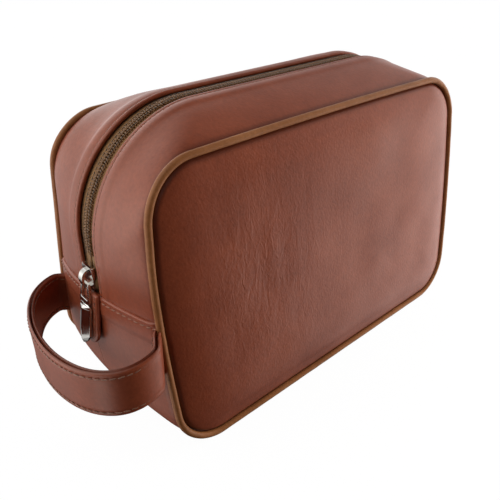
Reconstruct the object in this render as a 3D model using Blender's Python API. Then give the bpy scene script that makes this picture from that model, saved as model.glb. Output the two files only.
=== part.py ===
"""Shaving kit bag: a soft leather wash bag with a zipped top and a carry strap on its left end.

Frame: +X along the bag, -Y is the front, +Z up. The origin is the middle of the base, on the floor.
The bag is two domed panels joined by a gusset that runs all round. The gusset is a base that comes
up both ends, and two strips over the top with the zip between them.
"""

import math

import bmesh
import bpy
from mathutils import Vector

# Driving dimensions, in metres.
PANEL_LENGTH = 0.220  # piping line of the front and back panels
PANEL_TOP = 0.1447
PANEL_CORNER_TOP = 0.0208
PANEL_CORNER_BOTTOM = 0.0226
PANEL_SIDE_BOW = 0.0029
PANEL_TOP_BOW = 0.0014
PANEL_DOME = 0.0055
DEPTH_AT_BASE = 0.1156
DEPTH_AT_TOP = 0.0820

CROWN_RISE = 0.0127  # how far the gusset's middle line stands above the panels' top
CROWN_END_BULGE = 0.0083
CROWN_CORNER_TOP = 0.0605
CROWN_CORNER_BOTTOM = 0.034
CROWN_POWER = 1.6  # higher keeps the gusset full nearer to the piping
FLAT_BASE_SHARE = 0.8  # of the depth, before the base turns up to the piping

LEATHER = 0.0015
FOLDED_LEATHER = 0.0026
FOAM = 0.0030
LINING = 0.0006
BASE_BOARD = 0.0020
LAYER_GAP = 0.0003

PIPING_RADIUS = 0.0021
PIPING_WALL = 0.0009
PIPING_SLIT_DEG = 50.0
BINDING_WIDTH = 0.0062
BINDING_THICKNESS = 0.0016

SEAM_HEIGHT = 0.0730  # where the base part of the gusset ends, on both ends of the bag
SEAM_TILT = 0.0045  # it is this much higher at the front piping

ZIP_SLOT = 0.0130
TAPE_WIDTH = 0.0300
TAPE_THICKNESS = 0.0007
TAPE_UNDER_GUSSET = 0.0070
COIL_WIDTH = 0.0061
COIL_HEIGHT = 0.0017
COIL_BELOW_EDGE = 0.0010
CHAIN_SPLIT = 0.0016  # the coils and tapes part here, for the slider's web

SLIDER_HEIGHT = 0.0850  # the closed slider's place on the left end
SLIDER_LENGTH = 0.0140
SLIDER_WIDTH = 0.0096
SLIDER_PLATE = 0.0013
SLIDER_FLANGE = 0.0011
SLIDER_WEB = 0.0008
SLIDER_CLEARANCE = 0.0004
SLIDER_TAPE_CLEARANCE = 0.0014
BRIDGE_WIDTH = 0.0030
BRIDGE_LENGTH = 0.0100
BRIDGE_BAR = 0.0011
BRIDGE_RISE = 0.0042

PULLER_REACH = 0.0400
PULLER_WIDTH = 0.0084
PULLER_THICKNESS = 0.0016
PULLER_EYE_LENGTH = 0.0095
PULLER_EYE_BAR = 0.0014
PULLER_NECK_WIDTH = 0.0038
PULLER_NECK_LENGTH = 0.0024
PULLER_LEAN_DEG = 7.5

STOP_SIZE = (0.0030, 0.0022, 0.0014)
STOP_BELOW_SLIDER = 0.0022  # so that it clears the slider as the mouth opens

TAB_WIDTH = 0.0200
TAB_LENGTH = 0.0340
TAB_THICKNESS = 0.0022
TAB_STAND_OFF = 0.0012

STRAP_WIDTH = 0.0240
STRAP_LAYER = 0.0014
STRAP_FRONT = (-PANEL_LENGTH / 2 - 0.0021, -0.0532, 0.0634)  # middle of the strap at each sewn end
STRAP_BACK = (-PANEL_LENGTH / 2 - 0.0021, 0.0518, 0.0444)
STRAP_FRONT_PULL = (-0.0572, -0.0377)  # how it leaves the front end, along X and Y
STRAP_BACK_PULL = (-0.0498, -0.0112)
STRAP_MIDDLE_RISE = 0.0030
STRAP_END_GAP = 0.0062  # along the strap, clear of the piping as it swings

# What follows from the dimensions above.
CLEAR = LAYER_GAP
HALF_LENGTH = PANEL_LENGTH / 2
PANEL_BOTTOM = PIPING_RADIUS + LAYER_GAP
CROWN_TOP = PANEL_TOP + CROWN_RISE
CROWN_HALF = HALF_LENGTH + CROWN_END_BULGE
EDGE = PIPING_RADIUS + CLEAR
LINING_DEPTH = FOLDED_LEATHER + CLEAR + TAPE_THICKNESS + CLEAR + 0.0004
TAPE_DEPTH = COIL_BELOW_EDGE + COIL_HEIGHT + CLEAR
SEAM_ALLOWANCE = 0.0095
SLIDE_CENTRE = Vector((-(CROWN_HALF - CROWN_CORNER_TOP), 0, CROWN_TOP - CROWN_CORNER_TOP))

BROWN = (0.270, 0.078, 0.036)
TAN = (0.420, 0.190, 0.075)


def clear_scene():
    for obj in list(bpy.data.objects):
        bpy.data.objects.remove(obj, do_unlink=True)


def material(name, colour, roughness, metallic=0.0):
    made = bpy.data.materials.new(name)
    made.use_nodes = True
    shader = made.node_tree.nodes["Principled BSDF"]
    shader.inputs["Base Color"].default_value = (*colour, 1.0)
    shader.inputs["Roughness"].default_value = roughness
    shader.inputs["Metallic"].default_value = metallic
    made.diffuse_color = (*colour, 1.0)
    return made


def mix(a, b, share):
    return a + (b - a) * share


def rounded_half(half, bottom, top, corner_bottom, corner_top, share):
    """A point on a rounded rectangle's left half. share runs from the bottom's middle to the top's."""
    run_bottom = half - corner_bottom
    arc_bottom = corner_bottom * math.pi / 2
    side = top - bottom - corner_bottom - corner_top
    arc_top = corner_top * math.pi / 2
    run_top = half - corner_top
    way = share * (run_bottom + arc_bottom + side + arc_top + run_top)
    if way <= run_bottom:
        return -way, bottom
    way -= run_bottom
    if way <= arc_bottom:
        turn = way / corner_bottom
        return (
            -half + corner_bottom - corner_bottom * math.sin(turn),
            bottom + corner_bottom - corner_bottom * math.cos(turn),
        )
    way -= arc_bottom
    if way <= side:
        return -half, bottom + corner_bottom + way
    way -= side
    if way <= arc_top:
        turn = way / corner_top
        return (
            -half + corner_top - corner_top * math.cos(turn),
            top - corner_top + corner_top * math.sin(turn),
        )
    way -= arc_top
    return -half + corner_top + way, top


def half_depth(z):
    """Half of the bag's depth at a height: the panels lean in towards the top."""
    share = min(max((z - PANEL_BOTTOM) / (PANEL_TOP - PANEL_BOTTOM), 0.0), 1.1)
    return mix(DEPTH_AT_BASE, DEPTH_AT_TOP, share) / 2


def outline(way, fullness, depth=0.0, base_fullness=None):
    """The bag's outline at a place all round it, from the piping line (fullness 0) to the middle line (1).

    way runs from 0 at the bottom's middle, up the left end, to 1 at the top's middle and 2 at the
    bottom again. depth moves the outline inwards.
    """
    way %= 2.0
    left_way = way if way <= 1.0 else 2.0 - way
    base = fullness if base_fullness is None else base_fullness
    half = mix(HALF_LENGTH, CROWN_HALF, fullness) - depth
    bottom = mix(PANEL_BOTTOM, 0.0, base) + depth
    top = mix(PANEL_TOP, CROWN_TOP, fullness) - depth
    corner_bottom = mix(PANEL_CORNER_BOTTOM, CROWN_CORNER_BOTTOM, fullness) - depth
    corner_top = mix(PANEL_CORNER_TOP, CROWN_CORNER_TOP, fullness) - depth
    x, z = rounded_half(half, bottom, top, corner_bottom, corner_top, left_way)
    across = x / half
    up = (2 * z - top - bottom) / (top - bottom)
    bow = 1.0 - fullness
    x += PANEL_SIDE_BOW * bow * across * (1 - up * up)
    z += PANEL_TOP_BOW * bow * max(up, 0.0) * (1 - across * across)
    return (x, z) if way <= 1.0 else (-x, z)


def tuck(z):
    """The zip keeps to its corner's circle down to the slider, so its ends lie deeper than the gusset."""
    below = SLIDE_CENTRE.z - z
    if below <= 0:
        return 0.0
    deepest = SLIDE_CENTRE.z - SLIDER_HEIGHT + SLIDER_LENGTH / 2
    below = min(below, deepest)
    return CROWN_CORNER_TOP - math.sqrt(CROWN_CORNER_TOP**2 - below**2)


def gusset_point(way, across, depth, tucked=False):
    """A point of the gusset. across is -1 at the front piping, 0 on the middle line, 1 at the back."""
    fullness = 1.0 - abs(across) ** CROWN_POWER
    past_flat = max(0.0, abs(across) - FLAT_BASE_SHARE) / (1.0 - FLAT_BASE_SHARE)
    x, z = outline(way, fullness, depth, base_fullness=1.0 - past_flat**2)
    if tucked:
        x -= math.copysign(tuck(z) * fullness, x)
    return Vector((x, across * half_depth(z), z))


def share_of_depth(way, distance):
    """A distance in metres from the middle line, as a share of the half depth there."""
    _, z = outline(way, 0.5)
    return distance / half_depth(z)


def way_to_height(height, fullness=0.5):
    """The place on the left end that is at a height."""
    low, high = 0.3, 0.9
    for _ in range(40):
        middle = (low + high) / 2
        if outline(middle, fullness)[1] < height:
            low = middle
        else:
            high = middle
    return low


def seam_way(across):
    fullness = 1.0 - abs(across) ** CROWN_POWER
    return way_to_height(SEAM_HEIGHT - SEAM_TILT * across, fullness)


def spread(start, end, count):
    return [mix(start, end, i / (count - 1)) for i in range(count)]


def loop_ways():
    """Places all round the outline, closer together round the corners."""
    half = spread(0.0, 0.25, 4) + spread(0.278, 0.372, 5) + spread(0.42, 0.57, 6) + spread(0.60, 0.838, 10)
    half += [0.90]
    return half + [1.0] + [2.0 - w for w in reversed(half[1:])]


def finish_mesh(name, mesh_data, look, smooth_deg=40.0):
    mesh = bpy.data.meshes.new(name)
    mesh_data.normal_update()
    bmesh.ops.recalc_face_normals(mesh_data, faces=mesh_data.faces)
    mesh_data.to_mesh(mesh)
    mesh_data.free()
    mesh.shade_smooth()
    mesh.set_sharp_from_angle(angle=math.radians(smooth_deg))
    obj = bpy.data.objects.new(name, mesh)
    obj.data.materials.append(look)
    bpy.context.scene.collection.objects.link(obj)
    return obj


def sheet_solid(name, outer, inner, look, closed=False):
    """A solid between two matching grids of points. A closed one joins its last row to its first."""
    made = bmesh.new()
    grids = [[[made.verts.new(p) for p in row] for row in grid] for grid in (outer, inner)]
    rows, columns = len(outer), len(outer[0])
    row_pairs = [(i, (i + 1) % rows) for i in range(rows if closed else rows - 1)]
    for grid in grids:
        for a, b in row_pairs:
            for j in range(columns - 1):
                made.faces.new((grid[a][j], grid[b][j], grid[b][j + 1], grid[a][j + 1]))
    top, under = grids
    for a, b in row_pairs:
        for j in (0, columns - 1):
            made.faces.new((top[a][j], top[b][j], under[b][j], under[a][j]))
    if not closed:
        for i in (0, rows - 1):
            for j in range(columns - 1):
                made.faces.new((top[i][j], top[i][j + 1], under[i][j + 1], under[i][j]))
    return finish_mesh(name, made, look)


def ring_solid(name, path, section, look):
    """A closed ring: the section's points round each frame of the path."""
    made = bmesh.new()
    loops = []
    for origin, out, side in path:
        loops.append([made.verts.new(origin + out * a + side * b) for a, b in section])
    for first, second in zip(loops, loops[1:] + loops[:1]):
        for j in range(len(section)):
            k = (j + 1) % len(section)
            made.faces.new((first[j], second[j], second[k], first[k]))
    return finish_mesh(name, made, look)


def extruded(name, polygon, place, look, start, end):
    """A polygon of (a, b) points pushed along a third axis. place turns (a, b, c) to a point."""
    made = bmesh.new()
    low = [made.verts.new(place(a, b, start)) for a, b in polygon]
    high = [made.verts.new(place(a, b, end)) for a, b in polygon]
    made.faces.new(low)
    made.faces.new(list(reversed(high)))
    for j in range(len(polygon)):
        k = (j + 1) % len(polygon)
        made.faces.new((low[j], low[k], high[k], high[j]))
    return finish_mesh(name, made, look, 30.0)


def soften(obj, width, segments=2):
    bevel = obj.modifiers.new("edges", "BEVEL")
    bevel.width = width
    bevel.segments = segments
    bevel.limit_method = "ANGLE"
    bevel.angle_limit = math.radians(50)
    return obj


def hinge(name, place):
    empty = bpy.data.objects.new(name, None)
    empty.location = place
    bpy.context.scene.collection.objects.link(empty)
    return empty


def hang_on(parent, pieces):
    for piece in pieces:
        piece.parent = parent
        piece.location = piece.location - parent.location


def outline_frames(side):
    """Frames along the piping line of one panel: the point, the way out of the bag, and across it."""
    frames = []
    for way in loop_ways():
        x, z = outline(way, 0.0)
        ahead, behind = outline(way + 0.004, 0.0), outline(way - 0.004, 0.0)
        along = Vector((ahead[0] - behind[0], 0, ahead[1] - behind[1])).normalized()
        out = Vector((-along.z, 0, along.x))
        frames.append((Vector((x, side * half_depth(z), z)), out, Vector((0, side, 0))))
    return frames


def piping(side, name, look, core_look):
    """Leather wrapped round a cord, open on the side where its two edges go into the seam."""
    slit = math.radians(PIPING_SLIT_DEG) / 2
    facing = math.radians(225)  # inwards from the outline and from the panel
    turns = spread(facing + slit, facing + 2 * math.pi - slit, 8)
    bore = PIPING_RADIUS - PIPING_WALL
    section = [(PIPING_RADIUS * math.cos(t), PIPING_RADIUS * math.sin(t)) for t in turns]
    section += [(bore * math.cos(t), bore * math.sin(t)) for t in reversed(turns)]
    cover = ring_solid(f"{name}_piping", outline_frames(side), section, look)
    cord_radius = bore - CLEAR
    cord_section = [
        (cord_radius * math.cos(math.radians(60 * i)), cord_radius * math.sin(math.radians(60 * i)))
        for i in range(6)
    ]
    cord = ring_solid(f"{name}_piping_cord", outline_frames(side), cord_section, core_look)
    return [cover, cord]


def seam_binding(side, name, look):
    """Tape that closes the raw edges inside the seam, as a fin that points into the bag."""
    near = EDGE + BINDING_THICKNESS
    far = near + BINDING_WIDTH / math.sqrt(2)
    half = BINDING_THICKNESS / 2 / math.sqrt(2)
    section = [
        (-near + half, -near - half),
        (-far + half, -far - half),
        (-far - half, -far + half),
        (-near - half, -near + half),
    ]
    return ring_solid(f"{name}_seam_binding", outline_frames(side), section, look)


def panel_layer(side, name, look, insets, shares, below, thickness):
    """One domed layer of a panel. Outer rings are insets from the piping line, inner ones shares."""
    centre_z = (PANEL_TOP + PANEL_BOTTOM) / 2

    def point(x, z, share, depth):
        dome = PANEL_DOME * (1 - share**6) - EDGE / 3
        return Vector((x, side * (half_depth(z) + dome - depth), z))

    def rings(depth):
        made_rings = []
        for way in loop_ways():
            row = []
            for inset in insets:
                x, z = outline(way, 0.0, inset)
                row.append(point(x, z, 1 - 2 * inset / PANEL_TOP, depth))
            x, z = outline(way, 0.0, SEAM_ALLOWANCE)
            for share in shares:
                row.append(point(x * share, centre_z + (z - centre_z) * share, share, depth))
            made_rings.append(row)
        return made_rings

    made = bmesh.new()
    rims = []
    for depth in (below, below + thickness):
        grid = [[made.verts.new(p) for p in row] for row in rings(depth)]
        middle = made.verts.new(point(0, centre_z, 0.0, depth))
        for i in range(len(grid)):
            k = (i + 1) % len(grid)
            for j in range(len(grid[0]) - 1):
                made.faces.new((grid[i][j], grid[k][j], grid[k][j + 1], grid[i][j + 1]))
            made.faces.new((grid[i][-1], grid[k][-1], middle))
        rims.append([row[0] for row in grid])
    for i in range(len(rims[0])):
        k = (i + 1) % len(rims[0])
        made.faces.new((rims[0][i], rims[0][k], rims[1][k], rims[1][i]))
    return finish_mesh(name, made, look)


def panel(side, name, looks):
    inner = (0.8, 0.45)
    inset = SEAM_ALLOWANCE
    under_foam = LEATHER + FOAM + 2 * CLEAR
    return [
        panel_layer(side, f"{name}_panel", looks["leather"], (EDGE, inset), inner, 0.0, LEATHER),
        panel_layer(side, f"{name}_panel_padding", looks["foam"], (inset,), inner, LEATHER + CLEAR, FOAM),
        panel_layer(side, f"{name}_panel_lining", looks["lining"], (inset,), inner, under_foam, LINING),
    ]


def strip_ways(across, lanes):
    """Places from the left seam over the top to the right seam. Every lane has the same inner places."""
    start = seam_way(across)
    last = max(seam_way(lane) for lane in lanes)
    inner = [way for way in loop_ways() if last + 0.01 < way < 2 - last - 0.01]
    return [start + 0.0012] + inner + [2 - start - 0.0012]


def gusset_sheet(name, ways_at, across_at, columns, outer_depth, inner_depth, look, tucked):
    """A gusset piece. ways_at gives the places along it, and across_at how far across it lies."""
    grids = []
    for depth_at in (outer_depth, inner_depth):
        lanes = []
        for share in columns:
            lane = []
            for way in ways_at(share):
                across = across_at(way, share)
                lane.append(gusset_point(way, across, depth_at(share), tucked))
            lanes.append(lane)
        grids.append([list(row) for row in zip(*lanes)])
    return sheet_solid(name, grids[0], grids[1], look)


def zip_strip(side, name, look, lining_look):
    """Leather between the piping and the zip, folded double along the zip."""
    fold_share = 0.22

    def across_at(way, share):
        inner = share_of_depth(way, ZIP_SLOT / 2)
        outer = 1.0 - share_of_depth(way, EDGE)
        return side * mix(inner, outer, share)

    def ways_at(share):
        return strip_ways(side * mix(0.13, 0.95, share), (side * 0.13, side * 0.95))

    def thickness(share):
        return FOLDED_LEATHER if share < fold_share else LEATHER

    leather = gusset_sheet(
        f"{name}_zip_strip",
        ways_at,
        across_at,
        (0.0, 0.2, 0.24, 0.5, 0.78, 1.0),
        lambda share: 0.0,
        thickness,
        look,
        True,
    )

    def lining_across(way, share):
        inner = share_of_depth(way, TAPE_WIDTH / 2 + 0.0015)
        outer = 1.0 - share_of_depth(way, SEAM_ALLOWANCE)
        return side * mix(inner, outer, share)

    lining = gusset_sheet(
        f"{name}_zip_strip_lining",
        ways_at,
        lining_across,
        (0.0, 0.5, 1.0),
        lambda share: LINING_DEPTH,
        lambda share: LINING_DEPTH + LINING,
        lining_look,
        True,
    )
    return [leather, lining]


def zip_side(side, name, tape_look, coil_look):
    """One tape of the zip with its coil, and the small stop at its closed end."""
    tape_start = way_to_height(SEAM_HEIGHT - TAPE_UNDER_GUSSET, 1.0)
    coil_start = way_to_height(SLIDER_HEIGHT + SLIDER_LENGTH / 2 + 0.0012, 1.0)
    coil_end = 2 - way_to_height(SEAM_HEIGHT + 0.008, 1.0)

    def ways_between(start, end):
        inner = [way for way in loop_ways() if start + 0.008 < way < end - 0.008]
        return [start] + inner + [end]

    def lane(near, far):
        return lambda way, share: side * share_of_depth(way, mix(near, far, share))

    tape = gusset_sheet(
        f"{name}_zip_tape",
        lambda share: ways_between(tape_start, 2 - tape_start),
        lane(CHAIN_SPLIT / 2, TAPE_WIDTH / 2),
        (0.0, 0.3, 1.0),
        lambda share: TAPE_DEPTH,
        lambda share: TAPE_DEPTH + TAPE_THICKNESS,
        tape_look,
        True,
    )
    coil = gusset_sheet(
        f"{name}_zip_coil",
        lambda share: ways_between(coil_start, coil_end),
        lane(CHAIN_SPLIT / 2, COIL_WIDTH / 2),
        (0.0, 1.0),
        lambda share: COIL_BELOW_EDGE,
        lambda share: COIL_BELOW_EDGE + COIL_HEIGHT,
        coil_look,
        True,
    )
    return [tape, coil]


def zip_stop(name, look, height, mirror, y_from, y_to):
    """A small metal stop that sits on the tape."""
    long_side, _, thick = STOP_SIZE
    way = way_to_height(height, 1.0)
    middle = gusset_point(way, 0.0, TAPE_DEPTH - CLEAR - thick / 2, True)
    made = bmesh.new()
    bmesh.ops.create_cube(made, size=1.0)
    for vert in made.verts:
        vert.co.x = mirror * middle.x + vert.co.x * thick
        vert.co.y = mix(y_from, y_to, vert.co.y + 0.5)
        vert.co.z = middle.z + vert.co.z * long_side
    return soften(finish_mesh(name, made, look), 0.0003, 1)


def lower_gusset(look, lining_look):
    """The base, which comes up both ends as far as the seams."""

    def ways_from(extra):
        def ways_at(share):
            end = seam_way(mix(-0.96, 0.96, share)) - extra
            first = min(seam_way(-0.96), seam_way(0.96)) - extra
            inner = [way for way in loop_ways() if way < first - 0.01]
            return [-end] + [-way for way in reversed(inner[1:])] + inner + [end]

        return ways_at

    def across_within(edge):
        def across_at(way, share):
            most = 1.0 - share_of_depth(way, edge)
            return mix(-most, most, share)

        return across_at

    leather = gusset_sheet(
        "lower_gusset",
        ways_from(0.0012),
        across_within(EDGE),
        (0.0, 0.045, 0.11, 0.3, 0.5, 0.7, 0.89, 0.955, 1.0),
        lambda share: 0.0,
        lambda share: LEATHER,
        look,
        False,
    )
    lining = gusset_sheet(
        "lower_gusset_lining",
        ways_from(0.032),
        across_within(SEAM_ALLOWANCE),
        (0.0, 0.5, 1.0),
        lambda share: LINING_DEPTH,
        lambda share: LINING_DEPTH + LINING,
        lining_look,
        False,
    )
    return [leather, lining]


def base_board(look):
    """A stiff board between the base leather and its lining."""
    half_x = CROWN_HALF - CROWN_CORNER_BOTTOM - 0.003
    half_y = FLAT_BASE_SHARE * DEPTH_AT_BASE / 2 - 0.004
    low = LEATHER + CLEAR
    board = extruded(
        "base_board",
        [(-half_x, -half_y), (half_x, -half_y), (half_x, half_y), (-half_x, half_y)],
        lambda a, b, c: (a, b, c),
        look,
        low,
        low + BASE_BOARD - 0.0002,
    )
    return board


def zip_tab(name, mirror, look):
    """A rounded leather tab that covers the zip's end and hangs down over the gusset."""
    top = SEAM_HEIGHT - 0.0008
    lows = spread(0.0, 1.0, 9)
    rows = []
    for share in lows:
        height = top - TAB_LENGTH * share
        left_over = TAB_LENGTH * (1 - share)
        half = TAB_WIDTH / 2
        if left_over < half:
            half = math.sqrt(max(half**2 - (half - left_over) ** 2, 0.0012**2))
        rows.append((height, half, TAB_STAND_OFF * share**2))
    grids = []
    for depth in (-(CLEAR + TAB_THICKNESS), -CLEAR):
        grid = []
        for height, half, stand_off in rows:
            way = way_to_height(height, 1.0)
            row = []
            for across in (-1.0, 0.0, 1.0):
                point = gusset_point(way, share_of_depth(way, half * across), depth - stand_off)
                row.append(Vector((mirror * -abs(point.x), half * across, height)))
            grid.append(row)
        grids.append(grid)
    return sheet_solid(name, grids[0], grids[1], look)


def slider_frame():
    """Where the closed slider sits: its point on the middle line, the way out, and the way along the zip."""
    below = SLIDE_CENTRE.z - SLIDER_HEIGHT
    turn = math.asin(below / CROWN_CORNER_TOP)
    out = Vector((-math.cos(turn), 0, -math.sin(turn)))
    along = Vector((-math.sin(turn), 0, math.cos(turn)))
    return SLIDE_CENTRE + out * CROWN_CORNER_TOP, out, along


def slider_body(look):
    """Top and bottom plates with flanges, joined by the web that parts the coils."""
    origin, out, along = slider_frame()
    half = SLIDER_WIDTH / 2
    web = SLIDER_WEB / 2
    under = -(COIL_BELOW_EDGE - SLIDER_CLEARANCE)
    top = under + SLIDER_PLATE
    flange_low = -(TAPE_DEPTH - SLIDER_CLEARANCE)
    plate_low = -(TAPE_DEPTH + TAPE_THICKNESS + SLIDER_TAPE_CLEARANCE)
    bottom = plate_low - SLIDER_PLATE * 0.8
    right = [
        (web, bottom),
        (half * 0.9, bottom),
        (half * 0.9, plate_low),
        (web, plate_low),
        (web, under),
        (half - SLIDER_FLANGE, under),
        (half - SLIDER_FLANGE, flange_low),
        (half, flange_low),
        (half, top),
    ]
    section = right + [(-a, b) for a, b in reversed(right)]
    return extruded(
        "zip_slider",
        section,
        lambda a, b, c: origin + out * b + Vector((0, a, 0)) + along * c,
        look,
        -SLIDER_LENGTH / 2,
        SLIDER_LENGTH / 2,
    )


def bridge_base():
    return -(COIL_BELOW_EDGE - SLIDER_CLEARANCE) + SLIDER_PLATE + CLEAR


def slider_bridge(look):
    """The arch on the slider that the puller hangs from."""
    origin, out, along = slider_frame()
    base = bridge_base()
    outer, inner = [], []
    for step in range(9):
        turn = math.pi * step / 8
        outer.append((math.cos(turn) * BRIDGE_LENGTH / 2, base + BRIDGE_RISE * math.sin(turn) ** 0.7))
        inner.append(
            (
                math.cos(turn) * (BRIDGE_LENGTH / 2 - BRIDGE_BAR),
                base + (BRIDGE_RISE - BRIDGE_BAR) * math.sin(turn) ** 0.7,
            )
        )
    section = outer + list(reversed(inner))
    return extruded(
        "slider_bridge",
        section,
        lambda a, b, c: origin + along * a + out * b + Vector((0, c, 0)),
        look,
        -BRIDGE_WIDTH / 2,
        BRIDGE_WIDTH / 2,
    )


def puller_pivot():
    origin, out, _ = slider_frame()
    return origin + out * (bridge_base() + BRIDGE_RISE - BRIDGE_BAR - PULLER_THICKNESS / 2 - CLEAR)


def zip_puller(look):
    """A flat bar with an eye that hangs in the bridge, leaning on the tab."""
    pivot = puller_pivot()
    lean = math.radians(PULLER_LEAN_DEG)
    down = Vector((-math.sin(lean), 0, -math.cos(lean)))
    out = Vector((-math.cos(lean), 0, math.sin(lean)))
    half = PULLER_WIDTH / 2
    bar = PULLER_EYE_BAR
    eye_top = -bar / 2
    eye_bottom = eye_top + PULLER_EYE_LENGTH
    neck = PULLER_NECK_WIDTH / 2
    blade = eye_bottom + PULLER_NECK_LENGTH
    # Columns across and rows down; a cell is metal where the plan says so.
    columns = (-half, -half + bar, -neck, neck, half - bar, half)
    rows = (eye_top, eye_top + bar, eye_bottom - bar, eye_bottom, blade, PULLER_REACH)
    plan = ("#####", "#...#", "#####", "..#..", "#####")
    made = bmesh.new()
    corners = {}

    def corner(i, j, level):
        key = (i, j, level)
        if key not in corners:
            place = pivot + down * rows[i] + out * (level * PULLER_THICKNESS / 2)
            corners[key] = made.verts.new(place + Vector((0, columns[j], 0)))
        return corners[key]

    def metal(i, j):
        return 0 <= i < 5 and 0 <= j < 5 and plan[i][j] == "#"

    for i in range(5):
        for j in range(5):
            if not metal(i, j):
                continue
            cell = ((i, j), (i, j + 1), (i + 1, j + 1), (i + 1, j))
            for level in (-1, 1):
                made.faces.new([corner(a, b, level) for a, b in cell])
            sides = (
                (metal(i - 1, j), cell[0], cell[1]),
                (metal(i, j + 1), cell[1], cell[2]),
                (metal(i + 1, j), cell[2], cell[3]),
                (metal(i, j - 1), cell[3], cell[0]),
            )
            for covered, a, b in sides:
                if not covered:
                    made.faces.new((corner(*a, -1), corner(*b, -1), corner(*b, 1), corner(*a, 1)))
    return soften(finish_mesh("zip_puller", made, look, 30.0), 0.0003, 1)


def strap_point(share):
    """The strap's middle line from its front end to its back end, with the way across its thickness."""
    front, back = Vector(STRAP_FRONT), Vector(STRAP_BACK)
    handles = (
        front,
        Vector((front.x + STRAP_FRONT_PULL[0], front.y + STRAP_FRONT_PULL[1], front.z)),
        Vector((back.x + STRAP_BACK_PULL[0], back.y + STRAP_BACK_PULL[1], back.z)),
        back,
    )
    rest = 1 - share
    weights = (rest**3, 3 * rest**2 * share, 3 * rest * share**2, share**3)
    point = sum((h * w for h, w in zip(handles, weights)), Vector((0, 0, 0)))
    point.z = mix(front.z, back.z, share) + STRAP_MIDDLE_RISE * 4 * share * rest
    slope = (
        (handles[1] - handles[0]) * 3 * rest**2
        + (handles[2] - handles[1]) * 6 * rest * share
        + (handles[3] - handles[2]) * 3 * share**2
    )
    slope.z = 0
    slope.normalize()
    return point, Vector((slope.y, -slope.x, 0))


def strap_stations():
    """Shares along the strap at even steps, with their distance from the first end."""
    fine = [strap_point(i / 400)[0] for i in range(401)]
    way = [0.0]
    for a, b in zip(fine, fine[1:]):
        way.append(way[-1] + (b - a).length)
    length = way[-1] - 2 * STRAP_END_GAP
    radius = STRAP_WIDTH / 2
    ends = [0.04, 0.15, 0.35, 0.6, 1.0]
    steps = [radius * e for e in ends]
    steps += spread(radius, length - radius, 17)[1:-1]
    steps += [length - radius * e for e in reversed(ends)]
    stations = []
    for step in steps:
        target = step + STRAP_END_GAP
        index = next(i for i, w in enumerate(way) if w >= target)
        share = (index - (way[index] - target) / (way[index] - way[index - 1])) / 400
        from_end = min(step, length - step)
        half = radius
        if from_end < radius:
            half = math.sqrt(radius**2 - (radius - from_end) ** 2)
        stations.append((share, half))
    return stations


def strap_layer(name, look, near, far):
    """One leather layer of the strap, its ends rounded about the line that it swings on."""
    grids = []
    for offset in (near, far):
        grid = []
        for share, half in strap_stations():
            point, across = strap_point(share)
            grid.append([point + across * offset + Vector((0, 0, half * k)) for k in (-1, 0, 1)])
        grids.append(grid)
    return sheet_solid(name, grids[0], grids[1], look)


def strap_ends():
    """The two points that the strap swings about."""
    stations = strap_stations()
    radius = STRAP_WIDTH / 2
    full = [share for share, half in stations if half > radius * 0.9999]
    return strap_point(full[0])[0], strap_point(full[-1])[0]


def build():
    clear_scene()
    looks = {
        "leather": material("brown_leather", BROWN, 0.32),
        "piping": material("tan_leather", TAN, 0.38),
        "strap": material("strap_leather", (0.235, 0.062, 0.030), 0.34),
        "foam": material("foam", (0.75, 0.72, 0.66), 0.9),
        "lining": material("lining_cloth", (0.060, 0.045, 0.038), 0.8),
        "board": material("board", (0.30, 0.24, 0.17), 0.8),
        "cord": material("cord", (0.70, 0.64, 0.55), 0.9),
        "tape": material("zip_tape", (0.150, 0.085, 0.035), 0.75),
        "coil": material("zip_coil", (0.120, 0.052, 0.022), 0.4),
        "metal": material("nickel", (0.72, 0.69, 0.65), 0.18, 1.0),
    }
    pieces = {}
    for side, name in ((-1, "front"), (1, "back")):
        made = panel(side, name, looks)
        made += piping(side, name, looks["piping"], looks["cord"])
        made.append(seam_binding(side, name, looks["lining"]))
        made += zip_strip(side, name, looks["leather"], looks["lining"])
        made += zip_side(side, name, looks["tape"], looks["coil"])
        near, far = CHAIN_SPLIT / 2, CHAIN_SPLIT / 2 + STOP_SIZE[1]
        stop_height = SLIDER_HEIGHT - SLIDER_LENGTH / 2 - STOP_SIZE[0] - STOP_BELOW_SLIDER
        made.append(zip_stop(f"{name}_top_stop", looks["metal"], stop_height, 1, side * near, side * far))
        pieces[name] = made
    lower_gusset(looks["leather"], looks["lining"])
    base_board(looks["board"])
    zip_tab("left_zip_tab", 1, looks["leather"])
    zip_tab("right_zip_tab", -1, looks["leather"])
    zip_stop("zip_bottom_stop", looks["metal"], SEAM_HEIGHT + 0.0035, -1, -0.0028, 0.0028)

    for side, name in ((-1, "front"), (1, "back")):
        edge = hinge(f"{name}_half_hinge", (0, side * DEPTH_AT_BASE / 2, PANEL_BOTTOM))
        hang_on(edge, pieces[name])

    slide = hinge("slide_centre", SLIDE_CENTRE)
    hang_on(slide, [slider_body(looks["metal"]), slider_bridge(looks["metal"])])
    hang_on(hinge("puller_pivot", puller_pivot()), [zip_puller(looks["metal"])])

    front_end, back_end = strap_ends()
    middle = STRAP_LAYER + LAYER_GAP / 2
    strap = [
        strap_layer("carry_strap_outer", looks["strap"], -middle, -LAYER_GAP / 2),
        strap_layer("carry_strap_inner", looks["strap"], LAYER_GAP / 2, middle),
    ]
    hang_on(hinge("strap_hinge", (front_end + back_end) / 2), strap)


build()
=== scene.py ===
# Shaving kit bag: the fine surface of a soft leather wash bag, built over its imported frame.
# +X runs along the bag away from the carry strap, -Y is the front panel, +Z is up.
import math

import bmesh
import bpy
import numpy as np
from mathutils import Matrix, Vector


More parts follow.
